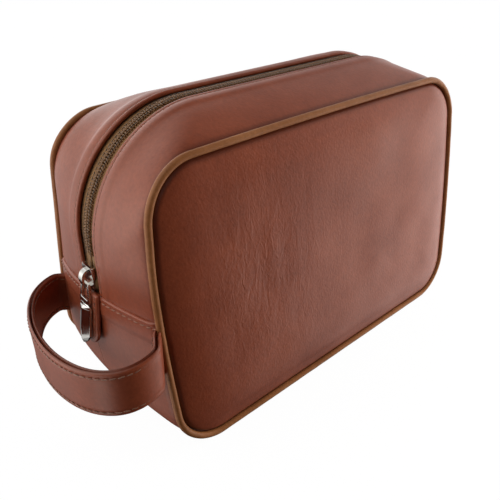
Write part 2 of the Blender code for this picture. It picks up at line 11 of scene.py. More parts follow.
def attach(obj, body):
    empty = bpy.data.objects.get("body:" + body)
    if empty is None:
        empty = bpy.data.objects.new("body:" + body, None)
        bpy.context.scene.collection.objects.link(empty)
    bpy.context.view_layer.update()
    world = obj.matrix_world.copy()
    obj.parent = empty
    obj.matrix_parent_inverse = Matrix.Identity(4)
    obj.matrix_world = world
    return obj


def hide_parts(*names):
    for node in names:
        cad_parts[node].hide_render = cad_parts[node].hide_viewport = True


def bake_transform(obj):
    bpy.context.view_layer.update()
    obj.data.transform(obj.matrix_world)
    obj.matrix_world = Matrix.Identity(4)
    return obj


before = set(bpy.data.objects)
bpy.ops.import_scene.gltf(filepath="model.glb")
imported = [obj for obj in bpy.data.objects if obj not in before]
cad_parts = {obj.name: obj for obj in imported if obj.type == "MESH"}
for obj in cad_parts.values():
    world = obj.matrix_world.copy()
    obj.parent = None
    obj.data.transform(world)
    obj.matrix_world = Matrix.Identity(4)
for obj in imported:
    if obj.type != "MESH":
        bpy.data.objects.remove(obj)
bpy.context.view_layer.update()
print("frame loaded")

bagShape = {
    "length": 0.220,
    "top": 0.1447,
    "bottom": 0.0024,
    "cornerTop": 0.0240,
    "cornerBottom": 0.0226,
    "sideBow": 0.0029,
    "topBow": 0.0014,
    "depthAtBase": 0.1156,
    "depthAtTop": 0.0820,
    "crownRise": 0.0127,
    "crownBulge": 0.0083,
    "crownCornerTop": 0.0605,
    "crownCornerBottom": 0.029,
    "crownPower": 2.1,
    "flatBase": 0.8,
    "seamHeight": 0.0730,
    "seamTilt": 0.0045,
    "sliderHeight": 0.0850,
    "sliderLength": 0.0140,
    "tuck": 0.15,
    "belly": 0.0030,
    "bellyHeight": 0.050,
    "wayLength": 0.353,  # metres of outline to one unit of way
}

halfLength = bagShape["length"] / 2
crownHalf = halfLength + bagShape["crownBulge"]
crownTop = bagShape["top"] + bagShape["crownRise"]
slideCentreZ = crownTop - bagShape["crownCornerTop"]


def mix(a, b, share):
    return a + (b - a) * share


def smooth(low, high, value):
    share = np.clip((np.asarray(value, float) - low) / (high - low), 0, 1)
    return share * share * (3 - 2 * share)


def latticeNoise(x, y, size, seed):
    # smooth bumps about `size` metres apart, from -1 to 1, the same on every run
    table = np.random.RandomState(seed).uniform(-1, 1, (64, 64))
    u, v = np.asarray(x) / size + 1000.5, np.asarray(y) / size + 1000.5
    i, j = np.floor(u).astype(int), np.floor(v).astype(int)
    a, b = smooth(0, 1, u - i), smooth(0, 1, v - j)
    low = mix(table[i % 64, j % 64], table[(i + 1) % 64, j % 64], a)
    high = mix(table[i % 64, (j + 1) % 64], table[(i + 1) % 64, (j + 1) % 64], a)
    return mix(low, high, b)


def roundedHalf(half, bottom, top, cornerBottom, cornerTop, share):
    # left half of a rounded rectangle, from the bottom's middle (0) to the top's (1)
    runBottom = half - cornerBottom
    arcBottom = cornerBottom * math.pi / 2
    side = top - bottom - cornerBottom - cornerTop
    arcTop = cornerTop * math.pi / 2
    runTop = half - cornerTop
    way = share * (runBottom + arcBottom + side + arcTop + runTop)
    a = way - runBottom
    b = a - arcBottom
    c = b - side
    d = c - arcTop
    turnB, turnT = a / cornerBottom, c / cornerTop
    x = np.where(a <= 0, -way, -half + cornerBottom - cornerBottom * np.sin(turnB))
    z = np.where(a <= 0, bottom, bottom + cornerBottom - cornerBottom * np.cos(turnB))
    x = np.where(b > 0, -half, x)
    z = np.where(b > 0, bottom + cornerBottom + b, z)
    x = np.where(c > 0, -half + cornerTop - cornerTop * np.cos(turnT), x)
    z = np.where(c > 0, top - cornerTop + cornerTop * np.sin(turnT), z)
    x = np.where(d > 0, -half + cornerTop + d, x)
    z = np.where(d > 0, top, z)
    return x, z


def halfDepth(z):
    share = np.clip((z - bagShape["bottom"]) / (bagShape["top"] - bagShape["bottom"]), 0, 1.1)
    return mix(bagShape["depthAtBase"], bagShape["depthAtTop"], share) / 2


def outlineAt(way, fullness, depth=0.0, baseFullness=None):
    # way: 0 bottom middle, up the left end, 1 top middle, 2 bottom again. fullness: 0 piping, 1 zip line
    way = np.asarray(way, float) % 2.0
    leftWay = np.where(way <= 1.0, way, 2.0 - way)
    base = fullness if baseFullness is None else baseFullness
    half = mix(halfLength, crownHalf, fullness) - depth
    bottom = mix(bagShape["bottom"], 0.0, base) + depth
    top = mix(bagShape["top"], crownTop, fullness) - depth
    low = mix(bagShape["cornerBottom"], bagShape["crownCornerBottom"], fullness) - depth
    high = mix(bagShape["cornerTop"], bagShape["crownCornerTop"], fullness) - depth
    x, z = roundedHalf(half, bottom, top, low, high, leftWay)
    across, up = x / half, (2 * z - top - bottom) / (top - bottom)
    bow = 1.0 - fullness
    x = x + bagShape["sideBow"] * bow * across * (1 - up * up)
    z = z + bagShape["topBow"] * bow * np.maximum(up, 0.0) * (1 - across * across)
    return np.where(way <= 1.0, x, -x), z


def wideAt(way):
    # half the bag's depth, midway between the piping and the zip
    return halfDepth(outlineAt(way, 0.5)[1])


def tuckAt(z):
    # the zip keeps to its corner's circle down to the slider
    deepest = slideCentreZ - bagShape["sliderHeight"] + bagShape["sliderLength"] / 2
    below = np.clip(slideCentreZ - z, 0, deepest)
    return bagShape["tuck"] * (bagShape["crownCornerTop"] - np.sqrt(bagShape["crownCornerTop"] ** 2 - below**2))


def gussetAt(way, across, depth=0.0, tuck=1.0):
    fullness = 1.0 - np.abs(across) ** bagShape["crownPower"]
    pastFlat = np.maximum(0.0, np.abs(across) - bagShape["flatBase"]) / (1.0 - bagShape["flatBase"])
    x, z = outlineAt(way, fullness, depth, 1.0 - pastFlat**2)
    x = x - np.copysign(tuckAt(z) * fullness * tuck, x)
    belly = bagShape["belly"] * fullness * np.exp(-(((z - bagShape["bellyHeight"]) / 0.024) ** 2))
    x = x + belly * smooth(0.07, 0.10, np.abs(x)) * np.sign(x)
    return np.stack([x, across * halfDepth(z), z], -1)


def wayToHeight(height, fullness=0.5):
    ways = np.linspace(0.3, 0.9, 2400)
    _, heights = outlineAt(ways, fullness)
    return np.interp(height, heights, ways)


def seamWay(across):
    # where the lower gusset's upper edge crosses the left end
    flat = np.ravel(np.asarray(across, float))
    found = [
        wayToHeight(bagShape["seamHeight"] - bagShape["seamTilt"] * a, 1 - abs(a) ** bagShape["crownPower"])
        for a in flat
    ]
    return np.reshape(found, np.shape(across))


settleLook = {"back": 0.0028, "corner": 0.0016, "cornerHeight": 0.128, "cornerReach": 0.022, "right": 0.0008}


def settled(points):
    # the soft bag isn't quite true: its back is a little shorter, and the front's upper left corner sits in
    points = np.array(points, float)
    x, y, z = points[..., 0], points[..., 1], points[..., 2]
    side = y / halfDepth(z)
    pull = settleLook["back"] * np.clip(side, 0, 1.1) ** 2 * smooth(0.02, 0.11, z)
    front = np.clip(-side, 0, 1.1) ** 2
    left = smooth(0.0, -0.09, x)
    sag = np.exp(-(((z - settleLook["cornerHeight"]) / settleLook["cornerReach"]) ** 2))
    pull = pull + settleLook["corner"] * front * left * sag
    pull = pull + settleLook["right"] * front * smooth(0.0, 0.09, x)
    points[..., 0] = x - pull * np.clip(x / 0.10, -1, 1)
    return points


# Meshes


def linked(name, mesh):
    obj = bpy.data.objects.new(name, mesh)
    bpy.context.scene.collection.objects.link(obj)
    return obj


def newObject(name, points, faces, finish, attributes=None):
    mesh = bpy.data.meshes.new(name)
    mesh.from_pydata(settled(points).tolist(), [], [tuple(int(i) for i in f) for f in faces])
    mesh.update()
    made = bmesh.new()
    made.from_mesh(mesh)
    bmesh.ops.recalc_face_normals(made, faces=made.faces)
    made.to_mesh(mesh)
    made.free()
    mesh.shade_smooth()
    for key, values in (attributes or {}).items():
        marks = mesh.attributes.new(key, "FLOAT", "POINT")
        marks.data.foreach_set("value", np.ravel(values).astype(np.float32))
    obj = linked(name, mesh)
    obj.data.materials.append(finish)
    return obj


def gridFaces(rows, columns, start=0, closeRows=False, closeColumns=False):
    faces = []
    for i in range(rows if closeRows else rows - 1):
        k = (i + 1) % rows
        for j in range(columns if closeColumns else columns - 1):
            n = (j + 1) % columns
            a, b = start + i * columns + j, start + k * columns + j
            faces.append((a, b, start + k * columns + n, start + i * columns + n))
    return faces


def sheetBetween(name, outer, inner, finish, attributes=None):
    # a closed sheet between two matching grids of points
    rows, columns = outer.shape[:2]
    count = rows * columns
    faces = gridFaces(rows, columns) + gridFaces(rows, columns, count)
    rim = list(range(columns))
    rim += [i * columns + columns - 1 for i in range(1, rows)]
    rim += [(rows - 1) * columns + j for j in range(columns - 2, -1, -1)]
    rim += [i * columns for i in range(rows - 2, 0, -1)]
    faces += [(a, b, b + count, a + count) for a, b in zip(rim, rim[1:] + rim[:1])]
    points = np.concatenate([outer.reshape(-1, 3), inner.reshape(-1, 3)])
    both = {key: np.concatenate([np.ravel(v), np.ravel(v)]) for key, v in (attributes or {}).items()}
    return newObject(name, points, faces, finish, both)


def sweepLoop(name, sections, finish, closed=False, attributes=None):
    # closed cross-sections in a row, with capped ends unless the row is a ring
    rows, columns = sections.shape[:2]
    faces = gridFaces(rows, columns, 0, closed, True)
    points = sections.reshape(-1, 3)
    if not closed:
        middles = [sections[0].mean(0), sections[-1].mean(0)]
        points = np.concatenate([points, middles])
        for end, row in ((0, 0), (1, rows - 1)):
            centre = rows * columns + end
            faces += [(row * columns + j, row * columns + (j + 1) % columns, centre) for j in range(columns)]
        attributes = {key: np.concatenate([np.ravel(v), [0, 0]]) for key, v in (attributes or {}).items()}
    return newObject(name, points, faces, finish, attributes)


# Finishes


def addNode(tree, kind, inputs=None, **settings):
    node = tree.nodes.new(kind)
    for key, value in settings.items():
        setattr(node, key, value)
    for key, value in (inputs or {}).items():
        if isinstance(value, bpy.types.NodeSocket):
            tree.links.new(value, node.inputs[key])
        else:
            node.inputs[key].default_value = value
    return node


def newFinish(name, **values):
    finish = bpy.data.materials.new(name)
    finish.use_nodes = True
    tree = finish.node_tree
    shader = tree.nodes["Principled BSDF"]
    for key, value in values.items():
        shader.inputs[key.replace("_", " ")].default_value = value
    return finish, tree, shader, addNode(tree, "ShaderNodeTexCoord").outputs["Object"]


def wire(tree, shader, **sources):
    for key, source in sources.items():
        tree.links.new(source, shader.inputs[key.replace("_", " ")])


def worked(tree, operation, *values):
    return addNode(tree, "ShaderNodeMath", dict(enumerate(values)), operation=operation).outputs[0]


def noise(tree, place, scale, detail, roughness=0.5, distortion=0.0, output="Fac"):
    values = {"Vector": place, "Scale": scale, "Detail": detail, "Roughness": roughness}
    return addNode(tree, "ShaderNodeTexNoise", {**values, "Distortion": distortion}).outputs[output]


def mapped(tree, place, **values):
    return addNode(tree, "ShaderNodeMapping", {"Vector": place, **values}).outputs["Vector"]


def marked(tree, name):
    return addNode(tree, "ShaderNodeAttribute", attribute_name=name).outputs["Fac"]


def bumped(tree, height, distance, strength=1.0, **more):
    values = {"Height": height, "Distance": distance, "Strength": strength, **more}
    return addNode(tree, "ShaderNodeBump", values).outputs["Normal"]


def blendColour(tree, factor, first, second, mode="MIX"):
    node = addNode(tree, "ShaderNodeMix", data_type="RGBA", blend_type=mode)
    for key, value in ((0, factor), (6, first), (7, second)):
        if isinstance(value, bpy.types.NodeSocket):
            tree.links.new(value, node.inputs[key])
        else:
            node.inputs[key].default_value = value if key == 0 else (*value, 1)
    return node.outputs[2]


def ramp(tree, value, stops):
    node = addNode(tree, "ShaderNodeValToRGB", {"Fac": value})
    elements = node.color_ramp.elements
    while len(elements) < len(stops):
        elements.new(0.5)
    for element, (place, shade) in zip(elements, stops):
        element.position = place
        element.color = (*shade, 1) if hasattr(shade, "__len__") else (shade, shade, shade, 1)
    return node.outputs["Color"]


def darker(colour, share):
    return tuple(c * share for c in colour)


leatherLook = {
    "dark": (0.235, 0.0480, 0.0190),
    "main": (0.285, 0.0600, 0.0240),
    "light": (0.330, 0.0740, 0.0310),
    # "edge" is a dark colour with two uses: painted shade in the groove beside the piping, and dark edge paint on
    # the strap's cut edges
    "edge": (0.060, 0.0110, 0.0055),
    "grain": 0.00125,
    "grainDepth": 0.00006,
    "loosen": 0.0022,  # how far the grain's cells stray
    "wrinkleScale": (270.0, 120.0, 105.0),
    "wrinkleDepth": 0.00026,
    "roughness": 0.38,
    "specular": 0.68,
    "glossTint": (1.0, 0.84, 0.74),
}


def leatherFinish(name, **changes):
    # fine pebbled grain, and soft upright wrinkles where the "wrinkle" attribute asks for them
    look = {**leatherLook, **changes}
    gloss = {"Specular_IOR_Level": look["specular"], "Specular_Tint": (*look["glossTint"], 1)}
    finish, tree, shader, place = newFinish(name, **gloss)
    cloud = noise(tree, place, 26.0, 5.0, 0.6)
    speck = ramp(tree, noise(tree, place, 520.0, 4.0, 0.65), ((0.3, 0.84), (0.7, 1.12)))
    colour = ramp(tree, cloud, ((0.30, look["dark"]), (0.5, look["main"]), (0.70, look["light"])))
    colour = blendColour(tree, 1.0, colour, speck, "MULTIPLY")
    # the "edge" attribute lays on the dark edge colour: painted shade beside the piping on panels and gussets, and
    # dark edge paint on the strap's cut edges
    colour = blendColour(tree, marked(tree, "edge"), colour, look["edge"])
    shift = {0: noise(tree, place, 170.0, 2.0, output="Color"), "Scale": look["loosen"]}
    shift = addNode(tree, "ShaderNodeVectorMath", shift, operation="SCALE").outputs["Vector"]
    loose = addNode(tree, "ShaderNodeVectorMath", {0: place, 1: shift}, operation="ADD").outputs["Vector"]
    cells = {"Vector": loose, "Scale": 1.0 / look["grain"], "Smoothness": 0.7}
    cells = addNode(tree, "ShaderNodeTexVoronoi", cells, feature="SMOOTH_F1").outputs["Distance"]
    grit = noise(tree, place, 900.0, 3.0, 0.6)
    height = worked(tree, "ADD", worked(tree, "MULTIPLY", cells, -0.8), worked(tree, "MULTIPLY", grit, 0.8))
    grain = bumped(tree, height, look["grainDepth"])
    folds = noise(tree, mapped(tree, loose, Scale=look["wrinkleScale"]), 1.0, 2.5, 0.55, 1.3)
    folds = worked(tree, "MULTIPLY", folds, marked(tree, "wrinkle"))
    rough = ramp(tree, cloud, ((0.3, look["roughness"] + 0.05), (0.7, look["roughness"] - 0.04)))
    normal = bumped(tree, folds, look["wrinkleDepth"], Normal=grain)
    wire(tree, shader, Base_Color=colour, Roughness=rough, Normal=normal)
    return finish


def clothFinish(name, colour, other, pitch, depth, roughness=0.8):
    finish, tree, shader, place = newFinish(name, Roughness=roughness, Sheen_Weight=0.25, Sheen_Roughness=0.4)
    turned = mapped(tree, place, Rotation=(0.4, 0.5, 0.6))
    waves = []
    for direction in ("X", "Y", "Z"):
        values = {"Vector": turned, "Scale": 0.314 / pitch, "Distortion": 0.4, "Detail": 1.0}
        waves.append(addNode(tree, "ShaderNodeTexWave", values, bands_direction=direction).outputs["Fac"])
    weave = worked(tree, "MAXIMUM", worked(tree, "MULTIPLY", waves[0], waves[1]), waves[2])
    fuzz = ramp(tree, noise(tree, place, 160.0, 4.0), ((0.3, 0.8), (0.7, 1.15)))
    shade = blendColour(tree, 1.0, blendColour(tree, weave, other, colour), fuzz, "MULTIPLY")
    wire(tree, shader, Base_Color=shade, Normal=bumped(tree, weave, depth, 0.6))
    return finish


def metalFinish(name, colour, roughness):
    finish, tree, shader, place = newFinish(name, Metallic=1.0)
    cloud = noise(tree, place, 300.0, 4.0)
    marks = noise(tree, mapped(tree, place, Scale=(900.0, 2500.0, 220.0)), 1.0, 2.0)
    shade = ramp(tree, cloud, ((0.3, darker(colour, 0.9)), (0.7, colour)))
    rough = ramp(tree, cloud, ((0.3, roughness), (0.75, roughness + 0.08)))
    wire(tree, shader, Base_Color=shade, Roughness=rough, Normal=bumped(tree, marks, 0.00001, 0.25))
    return finish


def threadFinish(name, colour):
    finish, tree, shader, place = newFinish(name, Roughness=0.55, Sheen_Weight=0.3)
    turned = mapped(tree, place, Rotation=(0.7, 0.6, 0.5))
    values = {"Vector": turned, "Scale": 900.0, "Distortion": 1.0, "Detail": 1.0}
    ply = addNode(tree, "ShaderNodeTexWave", values).outputs["Fac"]
    cloud = ramp(tree, noise(tree, place, 140.0, 3.0), ((0.3, 0.8), (0.7, 1.1)))
    shade = ramp(tree, ply, ((0.2, darker(colour, 0.7)), (0.8, colour)))
    shade = blendColour(tree, 1.0, shade, cloud, "MULTIPLY")
    wire(tree, shader, Base_Color=shade, Normal=bumped(tree, ply, 0.00008, 0.6))
    return finish


def plasticFinish(name, colour, roughness):
    finish, tree, shader, place = newFinish(name, Specular_IOR_Level=0.5)
    cloud = noise(tree, place, 240.0, 3.0)
    shade = ramp(tree, cloud, ((0.3, darker(colour, 0.75)), (0.7, colour)))
    rough = ramp(tree, cloud, ((0.3, roughness - 0.06), (0.7, roughness + 0.08)))
    wire(tree, shader, Base_Color=shade, Roughness=rough)
    return finish


panelLeather = leatherFinish("panelLeather")
gussetLeather = leatherFinish("gussetLeather", grainDepth=0.000045)
strapLeather = leatherFinish("strapLeather", grainDepth=0.00004)
pipingLeather = leatherFinish(
    "pipingLeather",
    dark=(0.270, 0.096, 0.030),
    main=(0.335, 0.125, 0.043),
    light=(0.400, 0.160, 0.060),
    edge=(0.090, 0.026, 0.009),
    grain=0.0009,
    grainDepth=0.00003,
    roughness=0.42,
    specular=0.35,
)
liningCloth = clothFinish("liningCloth", (0.075, 0.055, 0.042), (0.035, 0.026, 0.020), 0.0006, 0.0001)
bindingCloth = clothFinish("bindingCloth", (0.050, 0.036, 0.028), (0.025, 0.018, 0.014), 0.0008, 0.0001)
tapeCloth = clothFinish("tapeCloth", (0.360, 0.180, 0.060), (0.240, 0.110, 0.034), 0.0007, 0.0001, 0.75)
coilPlastic = plasticFinish("coilPlastic", (0.230, 0.105, 0.034), 0.34)
nickel = metalFinish("nickel", (0.72, 0.70, 0.66), 0.12)
seamThread = threadFinish("seamThread", (0.30, 0.115, 0.052))
tapeThread = threadFinish("tapeThread", (0.130, 0.070, 0.028))
edgeThread = threadFinish("edgeThread", (0.40, 0.165, 0.085))
boardFinish = plasticFinish("boardFinish", (0.30, 0.24, 0.17), 0.7)
print("finishes made")


# Rows and tubes that follow a path


def startTree(name, sockets):
    # a tree with geometry in and out and the named inputs, and its path as a curve
    tree = bpy.data.node_groups.new(name, "GeometryNodeTree")
    for way in ("INPUT", "OUTPUT"):
        tree.interface.new_socket("Geometry", in_out=way, socket_type="NodeSocketGeometry")
    for key, kind, value in sockets:
        socket = tree.interface.new_socket(key, in_out="INPUT", socket_type="NodeSocket" + kind)
        if value is not None:
            socket.default_value = value
    given = addNode(tree, "NodeGroupInput").outputs
    return tree, given, addNode(tree, "GeometryNodeMeshToCurve", {"Mesh": given["Geometry"]}).outputs["Curve"]


def endTree(tree, geometry, finish):
    real = addNode(tree, "GeometryNodeRealizeInstances", {"Geometry": geometry}).outputs["Geometry"]
    done = addNode(tree, "GeometryNodeSetMaterial", {"Geometry": real, "Material": finish})
    addNode(tree, "NodeGroupOutput", {"Geometry": done.outputs["Geometry"]})
    return tree


def rowTree():
    # instances of one small piece along a path, turned by the path and by its own "up"
    numbers = (("Spacing", "Float", 0.003), ("Tilt", "Float", 0.0), ("Unevenness", "Float", 0.06))
    things = (("Piece", "Object", None), ("Finish", "Material", None))
    tree, given, path = startTree("rowAlongPath", numbers + things)
    even = {"Curve": path, "Length": given["Spacing"]}
    even = addNode(tree, "GeometryNodeResampleCurve", even, mode="LENGTH").outputs["Curve"]
    piece = addNode(tree, "GeometryNodeObjectInfo", {"Object": given["Piece"]}).outputs["Geometry"]
    up = addNode(tree, "GeometryNodeInputNamedAttribute", {"Name": "up"}, data_type="FLOAT_VECTOR")
    along = addNode(tree, "GeometryNodeInputTangent").outputs["Tangent"]
    kind = "FunctionNodeAlignEulerToVector"
    turn = addNode(tree, kind, {"Vector": up.outputs["Attribute"]}, axis="Z").outputs["Rotation"]
    turn = addNode(tree, kind, {"Rotation": turn, "Vector": along}, axis="X", pivot_axis="Z").outputs["Rotation"]
    tilt = addNode(tree, "ShaderNodeCombineXYZ", {"Z": given["Tilt"]}).outputs["Vector"]
    turn = addNode(tree, "FunctionNodeRotateEuler", {"Rotation": turn, "Rotate By": tilt}, space="LOCAL")
    wobble = addNode(tree, "FunctionNodeRandomValue", {"Min": -1.0, "Max": 1.0, "Seed": 7}, data_type="FLOAT")
    size = worked(tree, "MULTIPLY_ADD", wobble.outputs[1], given["Unevenness"], 1.0)
    placed = {"Points": even, "Instance": piece, "Rotation": turn.outputs["Rotation"], "Scale": size}
    placed = addNode(tree, "GeometryNodeInstanceOnPoints", placed)
    return endTree(tree, placed.outputs["Instances"], given["Finish"])


def tubeTree():
    # a round cord swept along a path, a little uneven
    numbers = (("Radius", "Float", 0.0021), ("Sides", "Int", 20), ("Unevenness", "Float", 0.0001))
    tree, given, path = startTree("tubeAlongPath", (*numbers, ("Finish", "Material", None)))
    ring = {"Resolution": given["Sides"], "Radius": given["Radius"]}
    ring = addNode(tree, "GeometryNodeCurvePrimitiveCircle", ring).outputs["Curve"]
    tube = addNode(tree, "GeometryNodeCurveToMesh", {"Curve": path, "Profile Curve": ring, "Fill Caps": True})
    lumps = addNode(tree, "ShaderNodeTexNoise", {"Scale": 110.0, "Detail": 2.0}).outputs["Fac"]
    push = worked(tree, "MULTIPLY", worked(tree, "SUBTRACT", lumps, 0.5), given["Unevenness"])
    normal = addNode(tree, "GeometryNodeInputNormal").outputs["Normal"]
    offset = addNode(tree, "ShaderNodeVectorMath", {0: normal, "Scale": push}, operation="SCALE").outputs["Vector"]
    moved = addNode(tree, "GeometryNodeSetPosition", {"Geometry": tube.outputs["Mesh"], "Offset": offset})
    soft = addNode(tree, "GeometryNodeSetShadeSmooth", {"Geometry": moved.outputs["Geometry"]})
    return endTree(tree, soft.outputs["Geometry"], given["Finish"])


rowNodes, tubeNodes = rowTree(), tubeTree()


def evaluated(obj):
    bpy.context.view_layer.update()
    return bpy.data.meshes.new_from_object(obj.evaluated_get(bpy.context.evaluated_depsgraph_get()))


def grown(name, tree, points, values, ups=None, closed=False):
    # runs a tree on a path and keeps the result as a plain mesh
    points = settled(points)
    count = len(points)
    edges = [(i, (i + 1) % count) for i in range(count if closed else count - 1)]
    mesh = bpy.data.meshes.new(name + "Path")
    mesh.from_pydata(points.tolist(), edges, [])
    if ups is not None:
        marks = mesh.attributes.new("up", "FLOAT_VECTOR", "POINT")
        marks.data.foreach_set("vector", np.ravel(ups).astype(np.float32))
    path = linked(name + "Path", mesh)
    modifier = path.modifiers.new(name, "NODES")
    modifier.node_group = tree
    sockets = {i.name: i.identifier for i in tree.interface.items_tree if i.in_out == "INPUT"}
    for key, value in values.items():
        modifier[sockets[key]] = value
    result = evaluated(path)
    result.name = name
    obj = linked(name, result)
    bpy.data.objects.remove(path, do_unlink=True)
    return obj


def seedPiece(name, size, rings=5, around=8, power=1.0):
    # a small rounded bar for a row: x along, y across, z up
    made = bmesh.new()
    turn = Matrix.Rotation(math.pi / 2, 4, "Y")
    bmesh.ops.create_uvsphere(made, u_segments=around, v_segments=rings, radius=0.5, matrix=turn)
    for vert in made.verts:
        for axis in range(3):
            vert.co[axis] = math.copysign((abs(vert.co[axis]) * 2) ** power / 2, vert.co[axis]) * size[axis]
    mesh = bpy.data.meshes.new(name)
    made.to_mesh(mesh)
    made.free()
    mesh.shade_smooth()
    obj = linked(name, mesh)
    obj.hide_render = True
    return obj


def sewnRow(name, points, ups, spacing, tilt, piece, finish):
    values = {"Spacing": spacing, "Tilt": tilt, "Piece": piece, "Finish": finish}
    return grown(name, rowNodes, points, values, ups)


def joined(name, parts):
    chosen = {"active_object": parts[0], "selected_editable_objects": parts, "selected_objects": parts}
    with bpy.context.temp_override(**chosen):
        bpy.ops.object.join()
    parts[0].name = name
    return parts[0]


halfFold = {"front": -1, "back": 1}


def followHalf(piece):
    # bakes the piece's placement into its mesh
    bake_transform(piece)
    return piece


# The two panels

panelLook = {
    "dome": 0.0052,
    "domeWidth": 0.0115,
    "edgeIn": 0.0005,
    "edgeDeep": 0.0016,
    "edgeFlat": 0.0012,
    "thickness": 0.0048,
    "around": 420,
    "rings": 96,
    "innerRings": 30,
    "ringsTo": 0.110,  # how far in from the piping the rings reach
    "ringPower": 1.35,
    "rim": 0.010,  # inside this the rings shrink towards the middle
    "liningIn": 0.0088,
    "liningRings": 26,
    "liningThick": 0.0006,
}


def ringInsets(first, rings):
    return first + np.linspace(0, 1, rings + 1)[:-1] ** panelLook["ringPower"] * panelLook["ringsTo"]


def spot(x, z, centreX, centreZ, wide, tall):
    return np.exp(-(((x - centreX) / wide) ** 2) - ((z - centreZ) / tall) ** 2)


def panelDents(x, z):
    dents = 0.00055 * latticeNoise(x, z, 0.052, 3) + 0.00022 * latticeNoise(x, z, 0.021, 5)
    upright = spot(x, z, -0.052, 0.085, 0.034, 0.05)
    slant = spot(x, z, 0.070, 0.045, 0.035, 0.03)
    dents = dents + 0.00022 * upright * latticeNoise(x, z * 0.22, 0.0075, 9)
    return dents + 0.00016 * slant * latticeNoise(x + z, (x - z) * 0.25, 0.009, 11)


def panelGrid(side, below, first, rings, dented=False):
    # rings of points from the piping line in to the middle
    look = panelLook
    ways = np.linspace(0, 2, look["around"], endpoint=False)
    middleZ = (bagShape["top"] + bagShape["bottom"]) / 2
    rimX, rimZ = outlineAt(ways, 0.0, look["rim"])
    grid = []
    for inset in ringInsets(first, rings):
        if inset <= look["rim"]:
            x, z = outlineAt(ways, 0.0, inset)
        else:
            shrink = 1 - (inset - look["rim"]) / (first + look["ringsTo"] - look["rim"])
            x, z = rimX * shrink, middleZ + (rimZ - middleZ) * shrink
        rise = look["dome"] * (1 - np.exp(-np.maximum(inset - look["edgeFlat"], 0) / look["domeWidth"]))
        rise = rise - look["edgeDeep"] * (1 - smooth(look["edgeFlat"], 0.0036, inset))
        y = halfDepth(z) + rise - below
        if dented:
            y = y + smooth(0.003, 0.018, inset) * panelDents(x, z)
        grid.append(np.stack([x, side * y, z], -1))
    return np.array(grid)


def dish(outer, inner):
    # points and faces of a closed dish between two sets of rings
    around = outer.shape[1]
    start, total = len(outer) * around, (len(outer) + len(inner)) * around
    faces = gridFaces(len(outer), around, 0, False, True) + gridFaces(len(inner), around, start, False, True)
    faces += [(j, (j + 1) % around, start + (j + 1) % around, start + j) for j in range(around)]
    for last, centre in ((start - around, total), (total - around, total + 1)):
        faces += [(last + j, last + (j + 1) % around, centre) for j in range(around)]
    middles = [outer[-1].mean(0)[None], inner[-1].mean(0)[None]]
    return np.concatenate([outer.reshape(-1, 3), inner.reshape(-1, 3), *middles]), faces


def buildPanel(half):
    side, look = halfFold[half], panelLook
    outer = panelGrid(side, 0.0, look["edgeIn"], look["rings"], True)
    inner = panelGrid(side, look["thickness"], look["edgeIn"] + 0.0022, look["innerRings"])
    points, faces = dish(outer, inner)
    x, z = points[:, 0], points[:, 2]
    # painted shade: the leather colour darkens in the groove where the panel dips in to the piping
    seamShade = np.zeros(len(points))
    shadeByRing = 0.75 * (1 - smooth(0.0015, 0.0050, ringInsets(look["edgeIn"], look["rings"])))
    seamShade[: len(outer) * look["around"]] = np.repeat(shadeByRing, look["around"])
    upright = spot(x, z, -0.058, 0.092, 0.030, 0.042)
    lower = 0.35 * spot(x, z, -0.030, 0.050, 0.060, 0.050)
    marks = {"edge": seamShade, "wrinkle": np.clip(upright + lower + 0.04, 0, 1)}
    panel = newObject(f"{half}PanelLeather", points, faces, panelLeather, marks)
    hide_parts(f"{half}_panel", f"{half}_panel_padding")
    followHalf(panel)
    deep = look["thickness"] + 0.0003
    depths = (deep, deep + look["liningThick"])
    sides = [panelGrid(side, depth, look["liningIn"], look["liningRings"]) for depth in depths]
    cloth = newObject(f"{half}PanelLining", *dish(*sides), liningCloth)
    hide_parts(f"{half}_panel_lining")
    followHalf(cloth)


for half in halfFold:
    buildPanel(half)
print("panels made")


# Piping and the bound seams

pipingLook = {"radius": 0.00172, "sides": 20, "unevenness": 0.00022, "steps": 520}
bindingSection = ((0.0031, 0.0040), (0.0085, 0.0094), (0.0094, 0.0094), (0.0094, 0.0085), (0.0040, 0.0031))

for half, side in halfFold.items():
    x, z = outlineAt(np.linspace(0, 2, pipingLook["steps"], endpoint=False), 0.0, 0.0)
    values = {key.capitalize(): pipingLook[key] for key in ("radius", "sides", "unevenness")}
    line = np.stack([x, side * halfDepth(z), z], -1)
    cover = grown(f"{half}PipingCover", tubeNodes, line, {**values, "Finish": pipingLeather}, closed=True)
    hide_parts(f"{half}_piping", f"{half}_piping_cord")
    followHalf(cover)
    # the bound seam allowance, a fin that points into the bag
    ways = np.linspace(0, 2, 420, endpoint=False)
    section = []
    for inward, deep in bindingSection:
        x, z = outlineAt(ways, 0.0, inward)
        section.append(np.stack([x, side * (halfDepth(z) - deep), z], -1))
    fin = sweepLoop(f"{half}SeamBinding", np.swapaxes(np.array(section), 0, 1), bindingCloth, closed=True)
    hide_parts(f"{half}_seam_binding")
    followHalf(fin)
print("piping made")


# The gusset: two strips beside the zip, and the lower part

stripLook = {
    "slot": 0.0136,
    "fold": 0.0021,
    "leather": 0.0015,
    "tapeEdge": 0.0145,
    "stitchIn": 0.0024,
    "steps": 460,
    "tuckUnder": 0.012,  # the strips run on a little under the lower gusset
}


def gussetGrid(ways, offsets, depths, tuck=1.0):
    # points on the gusset, one column for each distance from its middle line
    wide = wideAt(ways)
    lanes = [gussetAt(ways, offset / wide, depth, tuck) for offset, depth in zip(offsets, depths)]
    return np.swapaxes(np.array(lanes), 0, 1)


